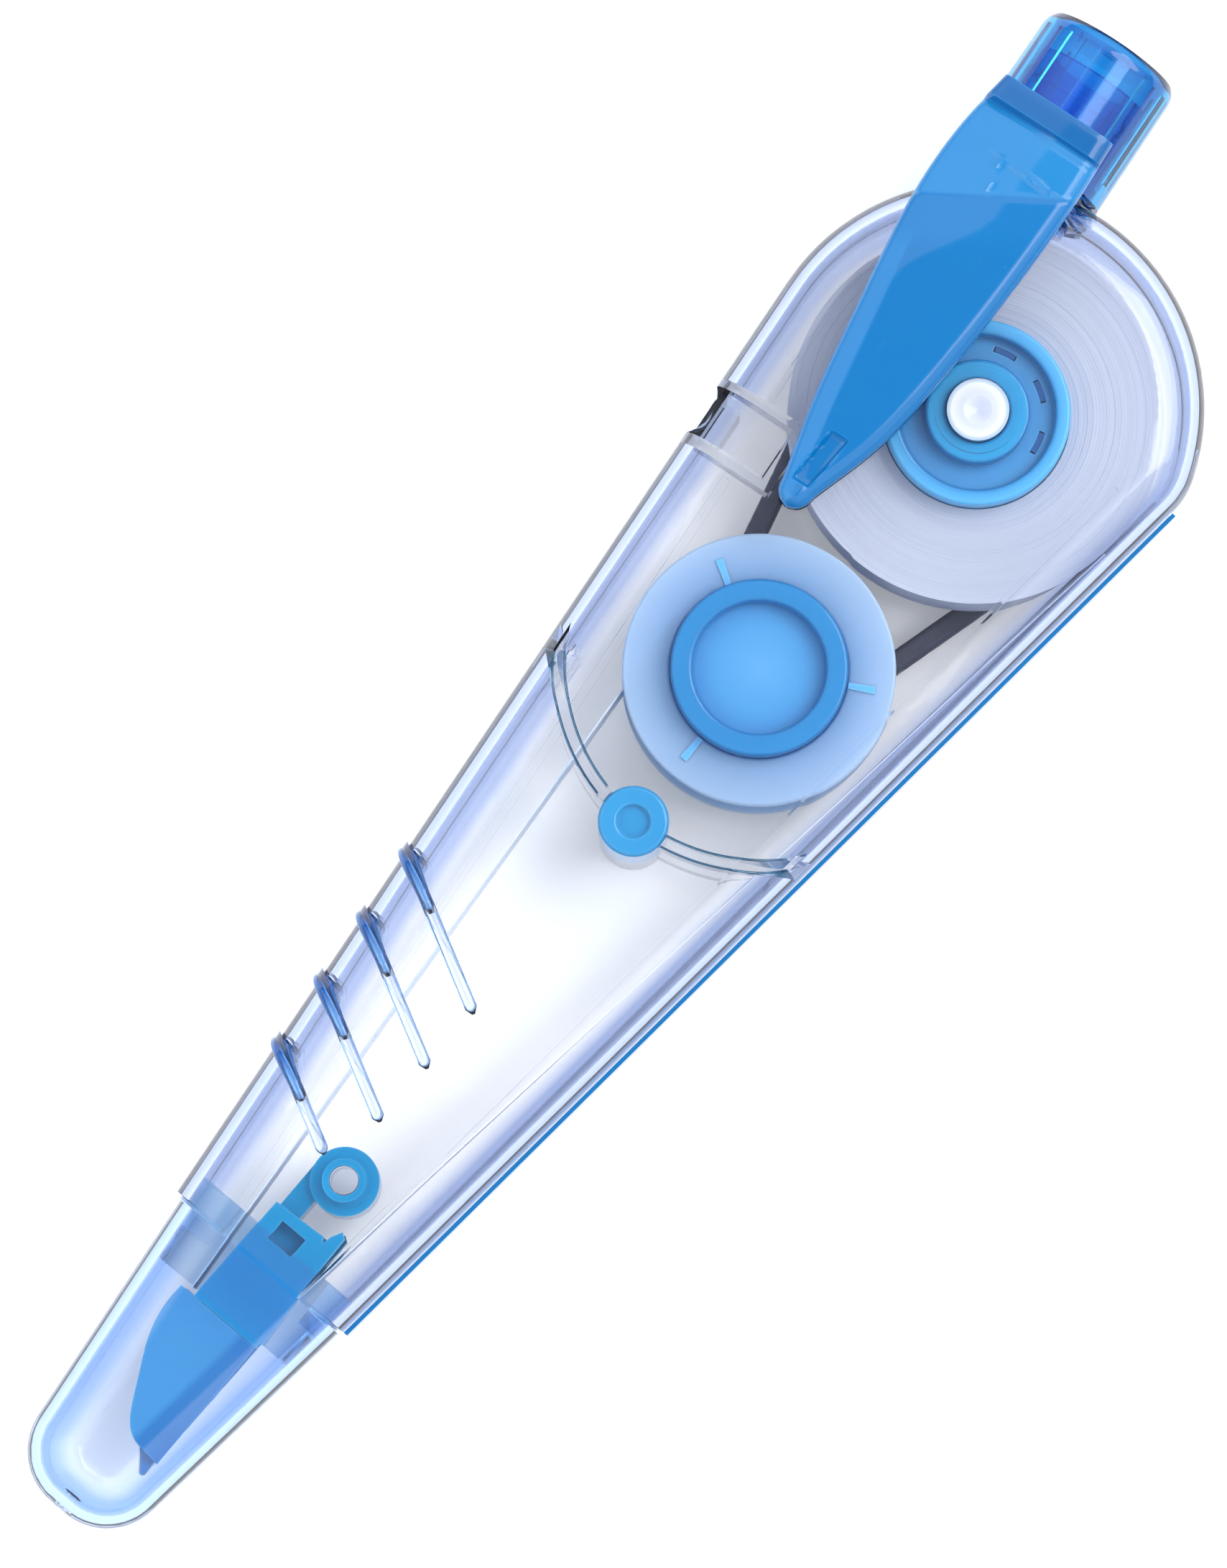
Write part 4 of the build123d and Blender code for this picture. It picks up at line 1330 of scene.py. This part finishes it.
@dataclass
class WoundReel:
    """A coil of tape with slightly uneven edges and a step where the outer end lies."""

    name: str
    node: str
    body: Body
    finish: object
    slot: str
    ply: float
    rings: int
    unevenness: float
    seed: int
    steps: int = 192

    def build(self) -> bpy.types.Object:
        """Builds the coil in its CAD node's space.

        Returns:
            The coil.
        """
        low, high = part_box(self.node)
        centre = Vector(((low.x + high.x) / 2, (low.y + high.y) / 2, 0.0))
        outer = (high.x - low.x) / 2
        inner = self.bore()
        rng = random.Random(self.seed)
        radii = [inner + (outer - inner) * i / self.rings for i in range(self.rings + 1)]
        top, bottom = [], []
        for first, second in zip(radii, radii[1:]):
            drop_top, drop_bottom = (self.unevenness * rng.random() for _ in range(2))
            for radius in (first + 0.1 * (second - first), second - 0.1 * (second - first)):
                top.append((radius, high.z - drop_top))
                bottom.append((radius, low.z + drop_bottom))
        profile = [*bottom, *reversed(top)]
        last = {len(bottom) - 1, len(bottom)}

        def spiral(index: int, angle: float) -> float:
            """Shrinks the outer turn steadily round the coil."""
            return -self.ply * angle / (2 * math.pi) if index in last else 0.0

        bm = bmesh.new()
        lathe(bm, profile, centre, self.steps, spiral)
        coil = object_from(self.name, bm, smooth=False)
        dress(coil, self.finish)
        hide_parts(self.node)
        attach(coil, self.body.value)
        log.info("piece %s on %s", coil.name, self.body.value)
        return coil

    def bore(self) -> float:
        """The radius of the hole through the CAD node."""
        low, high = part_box(self.node)
        centre = Vector(((low.x + high.x) / 2, (low.y + high.y) / 2))
        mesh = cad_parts[self.node].data
        return min((Vector((v.co.x, v.co.y)) - centre).length for v in mesh.vertices)


@dataclass
class SupplySide:
    """The supply reel, its axle, the drive pulley and the clutch washer."""

    coil: WoundReel = field(
        default_factory=lambda: WoundReel(
            "wound_tape",
            "tape_roll",
            Body.SUPPLY,
            FINISHES.roll,
            "tape",
            ply=0.1 * MM,
            rings=34,
            unevenness=0.035 * MM,
            seed=5,
        )
    )

    def build(self) -> None:
        """Builds the coil and dark bars laid in the slots of the hub's web as painted shade."""
        self.coil.build()
        # painted shade: dark bars laid in the hub's slots, where only shade falls
        spans = tuple((angle - 9.0, angle + 9.0) for angle in SLOT_ANGLES)
        CurvedBars(
            "hub_slot_shade", 0.0, spans, 4.58, 5.0, 10.05, 10.25, FINISHES.slot_shade, Body.SUPPLY, "reel_blue"
        ).build()

    def dress(self) -> None:
        """Dresses the supply side's nodes."""
        dress_nodes(
            {
                "supply_axle": FINISHES.axle,
                "supply_core": FINISHES.hub,
                "drive_pulley": FINISHES.wheel,
                "clutch_washer": FINISHES.felt,
            }
        )


@dataclass
class TakeupSide:
    """The take-up reel and the liner wound on it."""

    coil: WoundReel = field(
        default_factory=lambda: WoundReel(
            "wound_liner",
            "takeup_liner",
            Body.TAKEUP,
            FINISHES.liner_roll,
            "liner",
            ply=0.08 * MM,
            rings=5,
            unevenness=0.05 * MM,
            seed=9,
        )
    )

    def build(self) -> None:
        """Builds the coil and the three spokes that show on the milky disc."""
        self.coil.build()
        spans = tuple((angle - 1.9, angle + 1.9) for angle in SPOKE_ANGLES)
        CurvedBars(
            "flange_spokes", TAKEUP_X, spans, 6.35, 8.3, 10.35, 10.55, FINISHES.dash, Body.TAKEUP, "reel_blue"
        ).build()

    def dress(self) -> None:
        """Dresses the take-up side's nodes."""
        dress_nodes(
            {
                "takeup_core": FINISHES.reel,
                "takeup_front_flange": FINISHES.milky,
                "takeup_back_flange": FINISHES.milky,
            }
        )


@dataclass
class TapePath:
    """The tape on its way to the blade and back, and the belt behind the reels."""

    def dress(self) -> None:
        """Dresses the strips and the belt."""
        dress_nodes(
            {
                "tape_feed_run": FINISHES.tape,
                "tape_return_run": FINISHES.liner,
                "tape_tip_loop": FINISHES.tape,
                "drive_belt": FINISHES.belt,
            }
        )


@dataclass
class Head:
    """The head's carrier and blade, the tip cap over them, and the end cap."""

    def dress(self) -> None:
        """Dresses the head and both caps."""
        dress_nodes(
            {
                "head_carrier": FINISHES.head,
                "applicator_blade": FINISHES.blade,
                "tip_cap": FINISHES.cap,
                "end_cap": FINISHES.end,
            }
        )


@dataclass
class PocketClip:
    """The clip: a crowned leaf with facets, a banded root with its barrel, and a tip pad."""

    spine: tuple[tuple[float, float], ...] = (
        (3.25, 4.5), (-1.0, 5.2), (-5.0, 5.4), (-9.0, 5.15), (-16.5, 4.1), (-23.0, 3.1), (-29.2, 1.7)
    )
    belly: tuple[tuple[float, float], ...] = (
        (3.25, -4.5), (-2.5, -4.65), (-9.7, -4.4), (-17.0, -3.8), (-23.5, -2.8), (-29.2, -0.9)
    )
    nose_start: float = -29.2
    nose_reach: float = 1.5
    low: float = 14.75
    high: float = 16.6
    rounding: float = 0.6
    step: float = 0.22
    across: int = 44
    hinge: tuple[float, float] = (1.4, 13.4)
    barrel: float = 1.2

    def build(self) -> bpy.types.Object:
        """Builds the clip in its CAD node's place.

        Returns:
            The clip.
        """
        bm = bmesh.new()
        self.leaf(bm)
        self.root(bm)
        self.pad(bm)
        clip = object_from("clip_leaf", bm)
        split = clip.modifiers.new("Edges", "EDGE_SPLIT")
        split.split_angle = math.radians(32)
        dress(clip, FINISHES.clip)
        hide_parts("pocket_clip")
        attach(clip, Body.CLIP.value)
        log.info("piece %s on %s", clip.name, Body.CLIP.value)
        return clip

    def dress(self) -> None:
        """Dresses the CAD node under the leaf."""
        dress_nodes({"pocket_clip": FINISHES.clip})

    def place(self, out: float, side: float, height: float) -> Vector:
        """A point given in the clip's own directions and millimetres, in the frame."""
        flat = KNOB + (OUT * out + SIDE * (side + CLIP_SIDE)) * MM
        return Vector((flat.x, flat.y, height * MM))

    def sides(self, out: float) -> tuple[float, float]:
        """The leaf's belly side and spine side at a station."""
        if out >= self.nose_start:
            return through(self.belly, out), through(self.spine, out)
        middle = 0.5 * (self.spine[-1][1] + self.belly[-1][1])
        half = 0.5 * (self.spine[-1][1] - self.belly[-1][1])
        share = min((self.nose_start - out) / self.nose_reach, 0.995)
        half *= math.sqrt(1 - share * share)
        return middle - half, middle + half

    def top(self, out: float, side: float, belly: float, spine: float) -> float:
        """The height of the leaf's top at a point.

        Args:
            out: The station.
            side: The place across it.
            belly: The leaf's belly side there.
            spine: The leaf's spine side there.

        Returns:
            The height in millimetres.
        """
        crease = spine - 1.5 - 4.4 * smooth_step(-13.5, -5.0, out)
        height = self.high - 0.17 * max(side - crease, 0.0) * (1.0 if out < 1.1 else 0.4)
        height -= 0.32 * max(belly + 1.0 - side, 0.0)
        height -= 0.22 * smooth_step(-4.5, -4.1, out + 0.58 * side) * (1 - smooth_step(0.9, 1.1, out))
        height -= 0.35 * smooth_step(0.75, 0.95, out) * (1 - smooth_step(1.25, 1.45, out))
        for start, lean in ((1.5, 0.17), (1.5, 7.8)):
            line = abs(side - start - lean * (out + 1.8)) / math.hypot(1.0, lean)
            inside = smooth_step(-4.3, -4.1, out + 0.58 * side) * (1 - smooth_step(-1.9, -1.7, out))
            height += 0.16 * inside * (1 - smooth_step(0.05, 0.30, line))
        middle = 0.55 - 0.12 * (out + 29.5)
        groove = smooth_step(-29.0, -28.6, out) * (1 - smooth_step(-24.9, -24.5, out))
        height -= 0.45 * groove * (1 - smooth_step(0.50, 0.75, abs(side - middle)))
        drop = self.rounding - min(side - belly, spine - side)
        if drop > 0:
            height -= self.rounding - math.sqrt(max(self.rounding**2 - drop * drop, 0.0))
        return height

    def leaf(self, bm: bmesh.types.BMesh) -> None:
        """Lofts the leaf from its root to its tip."""
        root, tip = self.spine[0][0], self.nose_start - 0.995 * self.nose_reach
        count = round((root - tip) / self.step)
        sections = []
        for i in range(count + 1):
            out = root + (tip - root) * i / count
            belly, spine = self.sides(out)
            shrink = 1.0 - 0.10 * (1 - smooth_step(tip, tip + 0.7, out))
            shrink -= 0.04 * smooth_step(root - 0.3, root, out)
            ring = []
            for j in range(self.across + 1):
                side = belly + (spine - belly) * (0.5 - 0.5 * math.cos(math.pi * j / self.across))
                height = self.top(out, side, belly, spine)
                height = self.low + (height - self.low) * shrink
                ring.append(self.place(out, side, height))
            for j in range(self.across, -1, -2):
                side = belly + (spine - belly) * (0.5 - 0.5 * math.cos(math.pi * j / self.across))
                inset = 0.12 if j in (0, self.across) else 0.0
                ring.append(self.place(out, side + (inset if j == 0 else -inset), self.low))
            sections.append(ring)
        loft(bm, sections)

    def root(self, bm: bmesh.types.BMesh) -> None:
        """Sweeps the root's block and hinge barrel across the clip."""
        out0, height0 = self.hinge
        outline = [(-3.0, 14.9), (-2.85, 13.9), (-2.7, 13.75), (-0.2, 13.75)]
        for step in range(13):
            angle = math.radians(190 + 170 * step / 12)
            outline.append((out0 + self.barrel * math.cos(angle), height0 + self.barrel * math.sin(angle)))
        outline += [(2.75, 13.75), (3.05, 13.95), (3.1, 14.9)]
        centre = (0.4, 14.3)
        sections = []
        for side, share in ((-4.2, 0.93), (-4.0, 1.0), (4.0, 1.0), (4.2, 0.93)):
            ring = [
                (centre[0] + (a - centre[0]) * share, centre[1] + (b - centre[1]) * share)
                for a, b in outline
            ]
            sections.append([self.place(out, side, height) for out, height in ring])
        loft(bm, sections)

    def pad(self, bm: bmesh.types.BMesh) -> None:
        """Lofts the rounded pad under the tip."""
        sections = []
        for step in range(17):
            turn = math.pi * step / 16
            out = -27.3 - 1.9 * math.cos(turn)
            swell = max(math.sin(turn), 0.08) ** 0.5
            ring = []
            for k in range(16):
                angle = 2 * math.pi * k / 16
                depth = 0.7 if math.sin(angle) < 0 else 0.25
                side = 0.1 + 0.8 * swell * math.cos(angle)
                ring.append(self.place(out, side, 14.85 + depth * swell * math.sin(angle)))
            sections.append(ring)
        loft(bm, sections)


# ---------------------------------------------------------------- studio


@dataclass
class Studio:
    """A plain pale floor, soft light and the camera."""

    look_at: Vector = field(default_factory=lambda: Vector((36.3, -2.8, 7.0)) * MM)
    up: Vector = field(default_factory=lambda: Vector((-0.7627, -0.6468, 0.0)))
    tilt: float = math.radians(5.0)
    distance: float = 0.62
    frame_height: float = 110.8 * MM
    floor_size: float = 6.0
    floor_glow: float = 0.22
    sky_strength: float = 1.42
    key_power: float = 5.6
    fill_power: float = 1.6

    def build(self) -> None:
        """Builds the floor, the world, the lamps and the camera."""
        self.floor()
        self.world()
        self.lamps()
        self.camera()
        self.light_paths()

    def floor(self) -> None:
        """Lays the floor at the object's base."""
        bm = bmesh.new()
        bmesh.ops.create_grid(bm, x_segments=8, y_segments=8, size=self.floor_size / 2)
        floor = object_from("floor", bm)
        floor.location.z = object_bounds()[0][2] - 0.02 * MM
        material, graph, shader, _ = start_material("floor")
        where = graph.add("ShaderNodeTexCoord").outputs["Object"]
        cloud = graph.noise(where, 14.0, 3.0)
        share = graph.spread(cloud, 0.3, 0.7, 0.0, 1.0)
        colour = graph.blend(share, (0.95, 0.95, 0.955, 1.0), (0.94, 0.942, 0.95, 1.0))
        graph.feed(colour, shader.inputs["Base Color"])
        shader.inputs["Roughness"].default_value = 0.8
        shader.inputs["Specular IOR Level"].default_value = 0.2
        shader.inputs["Emission Color"].default_value = (1.0, 1.0, 1.0, 1.0)
        shader.inputs["Emission Strength"].default_value = self.floor_glow
        floor.data.materials.append(material)
        floor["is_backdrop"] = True

    def world(self) -> None:
        """Sets a white sky, blue-grey towards the horizon, with a dim patch straight overhead."""
        world = bpy.data.worlds.new("studio")
        bpy.context.scene.world = world
        world.use_nodes = True
        graph = Graph(world.node_tree)
        graph.tree.nodes.clear()
        split = graph.add("ShaderNodeSeparateXYZ")
        graph.feed(graph.add("ShaderNodeTexCoord").outputs["Generated"], split.inputs[0])
        rise = graph.spread(split.outputs[2], 0.02, 0.62, 0.0, 1.0)
        colour = graph.blend(rise, (0.26, 0.32, 0.50, 1.0), (1.0, 1.0, 1.0, 1.0))
        overhead = graph.spread(split.outputs[2], 0.955, 0.985, 0.0, 1.0)
        colour = graph.blend(overhead, colour, (0.22, 0.24, 0.28, 1.0))
        back = graph.add("ShaderNodeBackground")
        graph.feed(colour, back.inputs["Color"])
        back.inputs["Strength"].default_value = self.sky_strength
        out = graph.add("ShaderNodeOutputWorld")
        graph.feed(back.outputs[0], out.inputs[0])

    def lamp(self, name: str, place: Vector, size: float, power: float, colour: Colour) -> None:
        """Adds a square lamp that faces the object.

        Args:
            name: The lamp's name.
            place: Where it stands.
            size: Its side.
            power: Its power in watts.
            colour: Its colour.
        """
        data = bpy.data.lights.new(name, "AREA")
        data.shape = "SQUARE"
        data.size = size
        data.energy = power
        data.color = colour
        obj = bpy.data.objects.new(name, data)
        bpy.context.scene.collection.objects.link(obj)
        obj.location = self.look_at + place
        obj.rotation_euler = (-place).to_track_quat("-Z", "Y").to_euler()

    def lamps(self) -> None:
        """Places a broad key lamp and a weaker fill."""
        self.lamp("key", Vector((-0.55, 0.35, 0.85)), 0.7, self.key_power, (1.0, 0.99, 0.97))
        self.lamp("fill", Vector((0.6, -0.5, 0.7)), 0.9, self.fill_power, (0.93, 0.96, 1.0))

    def camera(self) -> None:
        """Places the camera over the front face, leaning a little towards the nose."""
        data = bpy.data.cameras.new("camera")
        data.sensor_fit = "VERTICAL"
        data.sensor_height = 24.0
        data.lens = data.sensor_height * self.distance / self.frame_height
        data.clip_start = 0.01
        data.clip_end = 20.0
        back = -self.up.normalized() * math.sin(self.tilt) + Vector((0, 0, 1)) * math.cos(self.tilt)
        up = self.up.normalized() * math.cos(self.tilt) + Vector((0, 0, 1)) * math.sin(self.tilt)
        right = up.cross(back)
        turn = Matrix((right, up, back)).transposed().to_4x4()
        camera = bpy.data.objects.new("camera", data)
        bpy.context.scene.collection.objects.link(camera)
        camera.matrix_world = Matrix.Translation(self.look_at + back * self.distance) @ turn
        bpy.context.scene.camera = camera

    def light_paths(self) -> None:
        """Lets light through many clear walls, and keeps whites white."""
        scene = bpy.context.scene
        scene.cycles.max_bounces = 24
        scene.cycles.transmission_bounces = 22
        scene.cycles.transparent_max_bounces = 48
        scene.cycles.diffuse_bounces = 4
        scene.cycles.glossy_bounces = 6
        scene.cycles.caustics_refractive = True
        scene.cycles.caustics_reflective = False
        scene.view_settings.view_transform = "Standard"


def main() -> None:
    """Builds and dresses every sub-assembly, then sets the studio."""
    logging.basicConfig(level=logging.INFO, format="%(name)s: %(message)s")
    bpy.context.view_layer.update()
    case, supply, takeup, clip = Case(), SupplySide(), TakeupSide(), PocketClip()
    for part in (case, supply, takeup, clip):
        part.build()
    for part in (case, supply, takeup, TapePath(), Head(), clip):
        part.dress()
    Studio().build()


if __name__ == "__main__":
    main()
